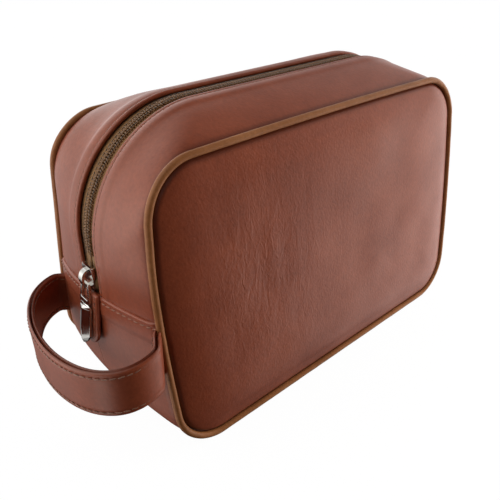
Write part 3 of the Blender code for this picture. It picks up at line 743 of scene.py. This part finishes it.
def stripProfile(way):
    # across the strip: distance from the zip's line and depth, as a closed loop from the piping round the fold
    look = stripLook
    wide = wideAt(way)
    tapeEdge, slot = look["tapeEdge"], look["slot"] / 2
    outer = [(wide - 0.0012, 0.0018), (wide - 0.0019, 0.0010), (wide - 0.0028, 0.0004), (wide - 0.0042, 0.0001)]
    outer += [(mix(wide - 0.0050, tapeEdge + 0.0030, share), 0.0) for share in np.linspace(0.04, 0.96, 15)]
    ridge = ((0.0018, -0.00005), (0.0008, -0.0002), (0.0, -0.00045), (-0.0010, -0.00062), (-0.0024, -0.0006))
    seam = ((0.0012, -0.0005), (0.0004, -0.0003), (0.0, -0.00018), (-0.0004, -0.0003))
    fold = ((0.0013, -0.0004), (0.0006, -0.0002), (0.0001, 0.0003), (0.0, 0.0009), (0.0003, 0.0015))
    fold += ((0.0011, 0.0019), (0.0030, look["fold"]))
    for start, shape in ((tapeEdge, ridge), (slot + look["stitchIn"], seam), (slot, fold)):
        outer += [(start + along, depth) for along, depth in shape]
    inner = [(tapeEdge - 0.0010, look["fold"]), (tapeEdge + 0.0010, look["leather"])]
    inner += [(mix(tapeEdge + 0.002, wide - 0.0035, share), look["leather"]) for share in (0.3, 0.6, 0.9)]
    return np.array(outer + inner + [(wide - 0.0030, 0.0021)])


def buildStrip(half):
    side = halfFold[half]
    start = float(seamWay(np.array(side * 0.5)))
    sections, edges = [], []
    for share in np.linspace(0, 1, stripLook["steps"]):
        way = mix(start, 2 - start, share)
        profile = stripProfile(way)
        across = side * profile[:, 0] / wideAt(way)
        low = seamWay(across) - stripLook["tuckUnder"]
        lane = mix(low, 2 - low, share)
        fromPiping = wideAt(lane) - profile[:, 0]
        swell = 0.0004 * latticeNoise(lane * 0.35, profile[:, 0], 0.03, 21 + side)
        swell = swell * smooth(0.016, 0.024, profile[:, 0]) * smooth(0.003, 0.012, fromPiping)
        hem = 0.0017 * (1 - smooth(0.0, 0.018, np.minimum(lane - low, 2 - low - lane)))
        sections.append(gussetAt(lane, across, profile[:, 1] - swell + hem))
        # painted shade: the leather colour darkens in the groove beside the piping
        edges.append(0.6 * (1 - smooth(0.0018, 0.0045, fromPiping)))
    strip = sweepLoop(f"{half}ZipStrip", np.array(sections), gussetLeather, attributes={"edge": edges})
    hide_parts(f"{half}_zip_strip")
    followHalf(strip)


for half in halfFold:
    buildStrip(half)
print("zip strips made")


lowerLook = {
    "leather": 0.0015,
    "turned": 0.0021,
    "rows": 560,
    "rowPower": 1.25,
    "columns": 44,
    "baseWay": 0.55,
    "stitchIn": 0.0026,
    "tuckShare": 0.6,
}


def endTuck(heights):
    return lowerLook["tuckShare"] * smooth(0.045, 0.073, heights)


def buildLower(half):
    # one half of the base and its two ends, from the middle line out to the piping
    side = halfFold[half]
    look = lowerLook
    rows = np.linspace(-1, 1, look["rows"])
    rows = np.sign(rows) * (1 - (1 - np.abs(rows)) ** look["rowPower"])
    wide = wideAt(np.abs(rows) * look["baseWay"])
    outer, inner, edges = [], [], []
    for share in np.linspace(0, 1, look["columns"]):
        reach = share * (wide - 0.0012)
        across = side * reach / wide
        end = seamWay(np.array(across[-1]))
        way = rows * end
        _, heights = outlineAt(way, 1 - np.abs(across) ** bagShape["crownPower"])
        fromEdge = (end - np.abs(way)) * bagShape["wayLength"]
        fromPiping = wide - reach
        turned = mix(look["leather"], look["turned"], 1 - smooth(0.009, 0.011, fromEdge))
        roll = 0.5 * turned * (1 - np.sqrt(np.clip(1 - (1 - np.clip(fromEdge / 0.0009, 0, 1)) ** 2, 0, 1)))
        valley = 0.0018 * (1 - smooth(0.0009, 0.0048, fromPiping)) * (np.abs(reach) > 0)
        groove = 0.00016 * np.exp(-(((fromEdge - look["stitchIn"]) / 0.0005) ** 2))
        swell = 0.0005 * latticeNoise(way * 0.35, side * reach, 0.034, 31)
        swell = swell * smooth(0.004, 0.016, fromPiping) * smooth(0.004, 0.015, fromEdge)
        swell = swell * smooth(0.02, 0.03, heights)
        rise = (look["turned"] - look["leather"]) * (1 - smooth(0.008, 0.0125, fromEdge))
        tuck = endTuck(heights)
        outer.append(gussetAt(way, across, roll + valley + groove - swell - rise, tuck))
        inner.append(gussetAt(way, across, turned - rise + valley * 0.5 - roll, tuck))
        # painted shade: the leather colour darkens in the groove beside the piping
        edges.append(0.6 * (1 - smooth(0.0018, 0.0045, fromPiping)))
    outer, inner = np.swapaxes(np.array(outer), 0, 1), np.swapaxes(np.array(inner), 0, 1)
    lower = sheetBetween(f"{half}LowerGusset", outer, inner, gussetLeather, {"edge": np.array(edges).T})
    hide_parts("lower_gusset")
    followHalf(lower)


for half in halfFold:
    buildLower(half)
print("lower gusset made")


# The zip

zipLook = {
    "tape": 0.0300,
    "tapeThick": 0.0007,
    "tapeDepth": 0.0024,
    "split": 0.0004,
    "tooth": (0.00098, 0.0030, 0.0012),
    "head": (0.0013, 0.0009, 0.0015),
    "pitch": 0.00145,
    "toothMiddle": 0.00155,
    "toothDepth": 0.0014,
    "headAt": 0.0002,
    "tilt": 0.16,
    "threadAt": 0.0021,
    "threadPitch": 0.0024,
    "columns": 14,
    "rows": 400,
    "seamIn": 0.0024,
    "seamPitch": 0.0027,
    "seamSize": (0.0021, 0.00042, 0.00034),
}


def zipLine(offset, depth, lowWay, highWay, steps=420):
    # points along the zip at a distance from its middle line, with the way out of the bag at each
    ways = np.linspace(lowWay, highWay, steps)
    across = offset / wideAt(ways)
    points = gussetAt(ways, across, depth)
    ahead = gussetAt(ways + 0.002, across, depth) - gussetAt(ways - 0.002, across, depth)
    beside = gussetAt(ways, across + 0.01, depth) - gussetAt(ways, across - 0.01, depth)
    ups = np.cross(ahead, beside)
    ups /= np.linalg.norm(ups, axis=1)[:, None]
    return points, ups


tapeLow = float(wayToHeight(0.066, 1.0))
coilLow = float(wayToHeight(0.0935, 1.0))
coilHigh = 2 - float(wayToHeight(0.0815, 1.0))
tooth = seedPiece("coilTurn", zipLook["tooth"], 5, 8, 0.8)
toothHead = seedPiece("coilHead", zipLook["head"], 4, 6, 0.85)
sewnStitch = seedPiece("sewnStitch", zipLook["seamSize"], 4, 6, 0.75)

for half, side in halfFold.items():
    look = zipLook
    offsets = np.linspace(look["split"], look["tape"] / 2, look["columns"])
    humps = 0.0006 * np.exp(-(((offsets - 0.0016) / 0.0016) ** 2))
    ways = np.linspace(tapeLow, 2 - tapeLow, look["rows"])
    faces = [gussetGrid(ways, side * offsets, look["tapeDepth"] + d - humps) for d in (0, look["tapeThick"])]
    tape = sheetBetween(f"{half}ZipTape", *faces, tapeCloth)
    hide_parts(f"{half}_zip_tape")
    followHalf(tape)

    pitch, deep = look["pitch"], look["toothDepth"]
    shift = 0.5 * pitch / bagShape["wayLength"] * (side > 0)
    line = zipLine(side * look["toothMiddle"], deep, coilLow + shift, coilHigh)
    turns = sewnRow(f"{half}CoilTurns", *line, pitch, look["tilt"] * side, tooth, coilPlastic)
    line = zipLine(side * look["headAt"], deep - 0.0001, coilLow + shift, coilHigh)
    heads = sewnRow(f"{half}CoilHeads", *line, pitch, 0.0, toothHead, coilPlastic)
    line = zipLine(side * look["threadAt"], deep - 0.00062, coilLow, coilHigh)
    thread = sewnRow(f"{half}CoilThread", *line, look["threadPitch"], 0.0, sewnStitch, tapeThread)
    coil = joined(f"{half}ZipCoil", [turns, heads, thread])
    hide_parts(f"{half}_zip_coil")
    followHalf(coil)

    # the seam that holds the folded leather to the tape
    offset = side * (stripLook["slot"] / 2 + look["seamIn"])
    line = zipLine(offset, -0.00022, tapeLow + 0.03, 2 - tapeLow - 0.03)
    seam = sewnRow(f"{half}ZipSeam", *line, look["seamPitch"], 0.05, sewnStitch, seamThread)
    followHalf(seam)
print("zip made")


# The topstitching on the lower gusset's edges

bigStitch = seedPiece("topStitch", (0.0029, 0.00058, 0.00050), 5, 8, 0.75)


def gussetLine(end, edgeIn, acrossList):
    # a line parallel to the lower gusset's edge on the left (-1) or right (1) end
    ways = seamWay(acrossList) - edgeIn / bagShape["wayLength"]
    ways = ways if end < 0 else 2 - ways
    return gussetAt(ways, acrossList, -0.00072, endTuck(outlineAt(ways, 0.5)[1]))


for half, side in halfFold.items():
    rows = []
    for end in (-1, 1):
        across = side * np.linspace(0.235, 0.955, 90)
        points = gussetLine(end, lowerLook["stitchIn"], across)
        ups = np.stack([0 * across + end, across * 0.35, 0 * across + 0.12], -1)
        rows.append(sewnRow(f"{half}Row{end}", points, ups, 0.0037, 0.10, bigStitch, edgeThread))
    row = joined(f"{half}GussetStitches", rows)
    followHalf(row)
print("gusset stitched")


# The tabs over the zip's ends

tabLook = {
    "top": 0.0745,
    "bottom": 0.0455,
    "half": 0.0086,
    "thick": 0.0022,
    "proud": 0.0003,
    "hang": 0.0012,
    "round": 0.010,
    "stitchIn": 0.0021,
    "edge": 0.0007,
}


def tabPoint(end, height, y, out):
    # out is measured from the tab's inner face, which hangs free at its foot
    out = out + tabLook["proud"] + tabLook["hang"] * (1 - smooth(0.042, 0.066, height))
    point = gussetAt(np.array(wayToHeight(height, 1.0)), np.array(y / halfDepth(height)), -out, endTuck(height))
    return np.array([end * -point[0] if end > 0 else point[0], y, height])


def rolled(inset, edge, thick):
    # how far a cut edge of a layer rounds over, at a distance in from it
    return 0.5 * thick * (1 - math.sqrt(max(0.0, 1 - (1 - min(inset / edge, 1)) ** 2)))


def buildTab(name, node, end):
    look = tabLook
    roundTop = look["bottom"] + look["round"]
    straight = np.linspace(look["top"], roundTop, 22)
    heights = np.concatenate([straight, roundTop - look["round"] * np.sin(np.linspace(0.06, math.pi / 2, 16))])
    outer, inner = [], []
    for height in heights:
        left = height - look["bottom"]
        half = look["half"]
        if left < half:
            half = math.sqrt(max(half**2 - (half - left) ** 2, 1e-9)) + 0.00035
        rowOut, rowIn = [], []
        for share in np.linspace(-1, 1, 25):
            y = half * math.copysign(1 - (1 - abs(share)) ** 1.5, share)
            inset = min(half - abs(y), left + 0.0004, look["top"] - height + 0.0002)
            roll = rolled(inset, look["edge"], look["thick"])
            groove = 0.00013 * math.exp(-(((inset - look["stitchIn"]) / 0.0004) ** 2))
            rowOut.append(tabPoint(end, height, y, look["thick"] - roll - groove))
            rowIn.append(tabPoint(end, height, y, roll))
        outer.append(rowOut)
        inner.append(rowIn)
    tab = sheetBetween(name, np.array(outer), np.array(inner), gussetLeather)
    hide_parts(node)
    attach(tab, "bag_base")
    radius = look["half"] - look["stitchIn"]
    side = np.linspace(look["top"] - 0.002, look["bottom"] + look["half"], 40)
    path = [(height, -radius) for height in side]
    for turn in np.linspace(0, math.pi, 40)[1:-1]:
        path.append((look["bottom"] + look["half"] - radius * math.sin(turn), -radius * math.cos(turn)))
    path += [(height, radius) for height in side[::-1]]
    points = np.array([tabPoint(end, height, y, look["thick"] - 0.00005) for height, y in path])
    ups = np.tile([float(end), 0, 0], (len(points), 1))
    stitches = sewnRow(f"{name}Stitches", points, ups, 0.0031, 0.06, bigStitch, seamThread)
    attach(stitches, "bag_base")


buildTab("leftZipTab", "left_zip_tab", -1)
buildTab("rightZipTab", "right_zip_tab", 1)
print("tabs made")


# The carry strap

strapLook = {
    "width": 0.0240,
    "layer": 0.0015,
    "front": (-0.1121, -0.0532, 0.0634),
    "back": (-0.1121, 0.0518, 0.0444),
    "frontPull": (-0.0572, -0.0377),
    "backPull": (-0.0498, -0.0112),
    "rise": 0.0030,
    "stitchIn": 0.0026,
    "edge": 0.0006,
    "gap": 0.00008,  # between the two layers, to each side of the middle
    "stations": 150,
    "smoothing": 40,
    "sewnFront": ((-0.1080, -0.0462), (-0.1130, -0.0474), (-0.1163, -0.0503)),
    "sewnBack": ((-0.1160, 0.0496), (-0.1130, 0.0478), (-0.1080, 0.0466)),
}


def strapPath():
    look = strapLook
    front, back = np.array(look["front"]), np.array(look["back"])
    handles = np.array([front, front, back, back])
    handles[1, :2] += look["frontPull"]
    handles[2, :2] += look["backPull"]
    share = np.linspace(0.055, 0.955, 200)[:, None]
    rest = 1 - share
    weights = (rest**3, 3 * rest**2 * share, 3 * rest * share**2, share**3)
    curve = sum(handle * weight for handle, weight in zip(handles, weights))
    curve[:, 2:] = mix(front[2], back[2], share) + look["rise"] * 4 * share * rest
    # each end goes round the piping and into the seam on the gusset's side of it
    into = np.array([(*point, front[2]) for point in look["sewnFront"]])
    out = np.array([(*point, back[2]) for point in look["sewnBack"]])
    raw = np.concatenate([into, curve, out])
    step = np.concatenate([[0], np.cumsum(np.linalg.norm(np.diff(raw, axis=0), axis=1))])
    even = np.linspace(0, step[-1], look["stations"] * 3)
    line = np.stack([np.interp(even, step, raw[:, k]) for k in range(3)], -1)
    for _ in range(look["smoothing"]):
        line[1:-1] = 0.25 * line[:-2] + 0.5 * line[1:-1] + 0.25 * line[2:]
    return line[::3]


def strapLayer(name, near, far, crown, finish):
    # one layer: a flat band with rounded, slightly lifted long edges
    line = strapPath()
    along = np.gradient(line, axis=0)
    along[:, 2] = 0
    along /= np.linalg.norm(along, axis=1)[:, None]
    side = np.stack([along[:, 1], -along[:, 0], 0 * along[:, 0]], -1)
    look = strapLook
    half, thick, out = look["width"] / 2, abs(far - near), math.copysign(1, far)
    profile = []
    for share in np.linspace(-1, 1, 33):
        inset = half * (1 - abs(share))
        groove = 0.00022 * math.exp(-(((inset - look["stitchIn"]) / 0.0006) ** 2))
        lift = crown * (1 - (1 - min(inset / 0.006, 1)) ** 2)
        profile.append((share * half, far + out * (lift - rolled(inset, look["edge"], thick) - groove)))
    for share in np.linspace(1, -1, 9):
        profile.append((share * half, near + out * rolled(half * (1 - abs(share)), look["edge"], thick)))
    profile = np.array(profile)
    sway = 0.0005 * latticeNoise(np.arange(len(line)) * 0.0011, 0 * line[:, 0], 0.03, 41)
    up = np.outer(profile[:, 0], [0, 0, 1])
    sections = [line[i] + up + np.outer(profile[:, 1] + sway[i], side[i]) for i in range(len(line))]
    edge = np.tile(np.clip(1.0 - (half - np.abs(profile[:, 0])) / 0.0007, 0, 1) * 0.5, len(line))
    return sweepLoop(name, np.array(sections), finish, attributes={"edge": edge}), line, side


def swingStrap(piece):
    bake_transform(piece)


gap, layer = strapLook["gap"], strapLook["layer"]
outerLayer, strapLine, strapSide = strapLayer("carryStrapOuter", -gap, -layer, 0.00025, strapLeather)
innerLayer, _, _ = strapLayer("carryStrapInner", gap, layer, 0.00015, strapLeather)
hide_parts("carry_strap_outer")
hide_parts("carry_strap_inner")
strapRows = []
keep = slice(6, -6)
for face in (-1, 1):
    for edge in (-1, 1):
        points = strapLine + np.array([0, 0, edge * (strapLook["width"] / 2 - strapLook["stitchIn"])])
        points = (points + strapSide * face * (layer + 0.00005))[keep]
        ups = (strapSide * face)[keep]
        name = f"strapRow{face}{edge}"
        strapRows.append(sewnRow(name, points, ups, 0.0034, 0.10 * edge, bigStitch, seamThread))
strapStitches = joined("carryStrapStitches", strapRows)
for piece in (outerLayer, innerLayer, strapStitches):
    swingStrap(piece)
print("carry strap made")


# Lining inside the gusset, held by the bound seams
liningReach = 0.0098  # from the piping

for half, side in halfFold.items():
    start = float(seamWay(np.array(side * 0.5))) + 0.004
    ways = np.linspace(start, 2 - start, 240)
    wide = wideAt(ways)
    offsets = [side * mix(0.0165, wide - liningReach, share) for share in np.linspace(0, 1, 12)]
    faces = [gussetGrid(ways, offsets, [deep] * 12) for deep in (0.0042, 0.0048)]
    cloth = sheetBetween(f"{half}StripLining", *faces, liningCloth)
    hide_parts(f"{half}_zip_strip_lining")
    followHalf(cloth)

endWay = float(seamWay(np.array(0.0))) - 0.033
ways = np.linspace(-endWay, endWay, 260)
wide = wideAt(ways)
offsets = [share * (wide - liningReach) for share in np.linspace(-1, 1, 40)]
lanes = [gussetGrid(ways, offsets, [deep] * 40, 0.0) for deep in (0.0043, 0.0049)]
floorLining = sheetBetween("lowerLining", lanes[0], lanes[1], liningCloth)
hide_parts("lower_gusset_lining")
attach(floorLining, "bag_base")


# The slider, its bridge and the puller

sliderLook = {
    "height": 0.0812,
    "tilt": 4.0,
    "proud": 0.0012,
    "length": 0.0136,
    "width": 0.0094,
    "tail": 0.0066,
    "plate": 0.0013,
    "lowPlate": (-0.0026, -0.0036),
    "skirt": 0.0011,
    "skirtThick": 0.0009,
    "bridge": (0.0034, 0.0046, 0.0104, 0.0012),  # width, rise, length, thickness
    "bevel": 0.00016,
    "reach": 0.0322,
    "blade": 0.0096,
    "lean": 10.0,
}

sliderSeat = gussetAt(wayToHeight(sliderLook["height"], 1.0), 0.0, zipLook["toothDepth"])


def sliderPoint(along, across, out):
    turn = math.radians(sliderLook["tilt"])
    outward = np.array([-math.cos(turn), 0, -math.sin(turn)])
    upward = np.array([-math.sin(turn), 0, math.cos(turn)])
    return sliderSeat + upward * along + np.array([0, across, 0]) + outward * (out + sliderLook["proud"])


def metalPiece(name, sections, closed=False):
    piece = sweepLoop(name, np.array(sections), nickel, closed)
    piece.data.shade_flat()
    bevel = piece.modifiers.new("softEdges", "BEVEL")
    bevel.width, bevel.segments = sliderLook["bevel"], 2
    bevel.limit_method, bevel.angle_limit = "ANGLE", math.radians(28)
    shaped = evaluated(piece)
    piece.modifiers.clear()
    piece.data = shaped
    shaped.shade_smooth()
    for face in shaped.polygons:
        face.use_smooth = face.area < 4e-8
    return piece


def bodyHalf(along):
    # half the slider's width, narrower at its tail
    return mix(sliderLook["tail"], sliderLook["width"], smooth(-0.45, 0.12, along)) / 2


look = sliderLook
plates = []
for name, high, low, inset in (("top", look["plate"], 0.0002, 0.0), ("bottom", *look["lowPlate"], 0.0004)):
    rows = []
    for along in np.linspace(-0.5, 0.5, 15):
        end = min(0.5 - along, 0.5 + along) * look["length"]
        wide = max(0.0006, bodyHalf(along) - inset - max(0.0, 0.0016 - end) * 0.55)
        u = along * look["length"]
        rows.append([sliderPoint(u, v, w) for v, w in ((-wide, low), (wide, low), (wide, high), (-wide, high))])
    plates.append(metalPiece(name + "Plate", rows))
for edge in (-1, 1):
    rows = []
    for along in np.linspace(-0.47, 0.47, 11):
        wide, narrow = bodyHalf(along), bodyHalf(along) - look["skirtThick"]
        corners = ((wide, 0.0006), (wide, -look["skirt"]), (narrow, -look["skirt"]), (narrow, 0.0006))
        rows.append([sliderPoint(along * look["length"], edge * v, w) for v, w in corners])
    plates.append(metalPiece(f"skirt{edge}", rows))
wide, rise, span, thick = look["bridge"]
rows = []
for turn in np.linspace(0, math.pi, 25):
    ring = []
    for cut, sides in ((0, (-1, 1)), (thick, (1, -1))):
        along = (span / 2 - cut) * math.cos(turn)
        out = look["plate"] - 0.0003 + (rise - cut) * math.sin(turn) ** 0.75
        ring += [sliderPoint(along, edge * wide / 2, out) for edge in sides]
    rows.append(ring)
arch = metalPiece("sliderBridgeArch", rows)
sliderBody = joined("sliderBody", plates)
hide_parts("zip_slider")
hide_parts("slider_bridge")
for piece in (sliderBody, arch):
    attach(piece, "slider")

pullTop = sliderPoint(-span / 2 + 0.0022, 0, look["plate"] + rise - thick - 0.0012)
lean = math.radians(look["lean"])
downward = np.array([-math.sin(lean), 0, -math.cos(lean)])
faceOut = np.array([-math.cos(lean), 0, math.sin(lean)])


def pullerPoint(down, across, out):
    return pullTop + downward * down + np.array([0, across, 0]) + faceOut * out


flat = look["blade"] / 2
rows = []
for down, half, ridge in (
    (0.0100, 0.0030, 0.0011),
    (0.0108, 0.0044, 0.0012),
    (0.0122, flat, 0.0021),
    (0.0170, flat, 0.0022),
    (0.0220, flat, 0.0023),
    (0.0272, flat, 0.0023),
    (0.0300, 0.0031, 0.0019),
    (look["reach"], 0.0008, 0.0010),
):
    lip = 0.0004 if half > 0.0012 else 0.0002
    corners = ((-half, -0.0007), (half, -0.0007), (half, lip), (0.0003, ridge), (-0.0003, ridge), (-half, lip))
    rows.append([pullerPoint(down, v, w) for v, w in corners])
blade = metalPiece("blade", rows)
# the eye: each corner of the frame, and the same corner on its inner side
eyeMiddle = 0.0046
corners = [(-0.0012, -0.0030), (-0.0004, -0.0036), (0.0088, -0.0045), (0.0098, -0.0040)]
corners += [(0.0098, 0.0040), (0.0088, 0.0045), (-0.0004, 0.0036), (-0.0012, 0.0030)]
eyeRows = []
for down, across in corners:
    inner = (down + (0.0014 if down < eyeMiddle else -0.0024), across - math.copysign(0.0013, across))
    section = ((down, across, -0.0006), (down, across, 0.0008), (*inner, 0.0008), (*inner, -0.0006))
    eyeRows.append([pullerPoint(*corner) for corner in section])
eye = metalPiece("eye", eyeRows, closed=True)
puller = joined("zipPuller", [blade, eye])
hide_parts("zip_puller")
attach(puller, "puller")
print("slider and puller made")


def dress(node, finish):
    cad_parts[node].data.materials.clear()
    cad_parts[node].data.materials.append(finish)


dress("base_board", boardFinish)
for node in ("front_top_stop", "back_top_stop", "zip_bottom_stop"):
    dress(node, nickel)
for helper in (tooth, toothHead, sewnStitch, bigStitch):
    bpy.data.objects.remove(helper, do_unlink=True)
print("hard pieces dressed")


# Floor, light and camera

studioLook = {
    "glows": (  # turn and height in degrees, strength, and how narrow it is
        (0, 5, 2.2, 7),
        (150, 5, 2.0, 7),
        (80, 12, 2.2, 7),
        (170, 60, 1.5, 7),
        (338, -25, 0.95, 12),
        (321, -28, 0.75, 45),
        (180, 35, 0.5, 7),
        (140, -25, 0.6, 7),
        (190, -37, 2.6, 45),
    ),
    "lamp": {"place": (0.44, -0.34, 0.12), "aim": (0.03, -0.05, 0.07), "size": 0.30, "watts": 2.4},
    "floorGlow": 0.97,
    "lens": 40.62,
    "eye": (-0.21113, -0.21791, 0.22919),
    "ahead": (0.571, 0.6404, -0.5136),
    "right": (0.744, -0.6681, -0.0059),
}

world = bpy.data.worlds.new("studio")
bpy.context.scene.world = world
world.use_nodes = True
sky = world.node_tree
toward = addNode(sky, "ShaderNodeTexCoord").outputs["Generated"]
light = None
for turn, height, strength, narrow in studioLook["glows"]:
    # one soft glow of a light tent, brightest in its own direction
    turn, height = math.radians(turn), math.radians(height)
    centre = (math.cos(height) * math.cos(turn), math.cos(height) * math.sin(turn), math.sin(height))
    facing = addNode(sky, "ShaderNodeVectorMath", {0: toward, 1: centre}, operation="DOT_PRODUCT")
    glow = worked(sky, "POWER", worked(sky, "MAXIMUM", facing.outputs["Value"], 0.0), float(narrow))
    glow = worked(sky, "MULTIPLY", glow, strength)
    light = glow if light is None else worked(sky, "ADD", light, glow)
sky.links.new(light, sky.nodes["Background"].inputs["Strength"])
sky.nodes["Background"].inputs["Color"].default_value = (1, 1, 1, 1)

# the floor shows as a lit white table, and the world below stands in for what it bounces back
paint = {"Base_Color": (0.05, 0.05, 0.05, 1), "Emission_Color": (1, 1, 1, 1)}
paint["Emission_Strength"] = studioLook["floorGlow"]
floorFinish = newFinish("floorFinish", Roughness=1.0, Specular_IOR_Level=0.0, **paint)[0]
bpy.ops.mesh.primitive_plane_add(size=12, location=(0, 0, -0.0002))
bpy.context.object.name = "floor"
bpy.ops.mesh.primitive_uv_sphere_add(segments=64, ring_count=32, radius=5.0)
bpy.context.object.name = "backdrop"
for name in ("floor", "backdrop"):
    ground = bpy.data.objects[name]
    ground.data.materials.append(floorFinish)
    ground.visible_diffuse = ground.visible_glossy = ground.visible_shadow = False

lampLook = studioLook["lamp"]
lamp = bpy.data.lights.new("rightSoftbox", "AREA")
lamp.shape, lamp.size, lamp.energy = "SQUARE", lampLook["size"], lampLook["watts"]
softbox = linked("rightSoftbox", lamp)
softbox.location = lampLook["place"]
aim = Vector(lampLook["aim"]) - Vector(lampLook["place"])
softbox.rotation_euler = aim.to_track_quat("-Z", "Y").to_euler()
softbox.visible_camera = softbox.visible_glossy = False
bpy.context.scene.view_settings.view_transform = "Standard"

camera = bpy.data.cameras.new("camera")
camera.lens, camera.sensor_width, camera.clip_start = studioLook["lens"], 36, 0.01
view = linked("camera", camera)
ahead = Vector(studioLook["ahead"]).normalized()
upward = Vector(studioLook["right"]).normalized().cross(ahead).normalized()
right = ahead.cross(upward).normalized()
turned = Matrix((right, upward, -ahead)).transposed().to_4x4()
turned.translation = Vector(studioLook["eye"])
view.matrix_world = turned
bpy.context.scene.camera = view
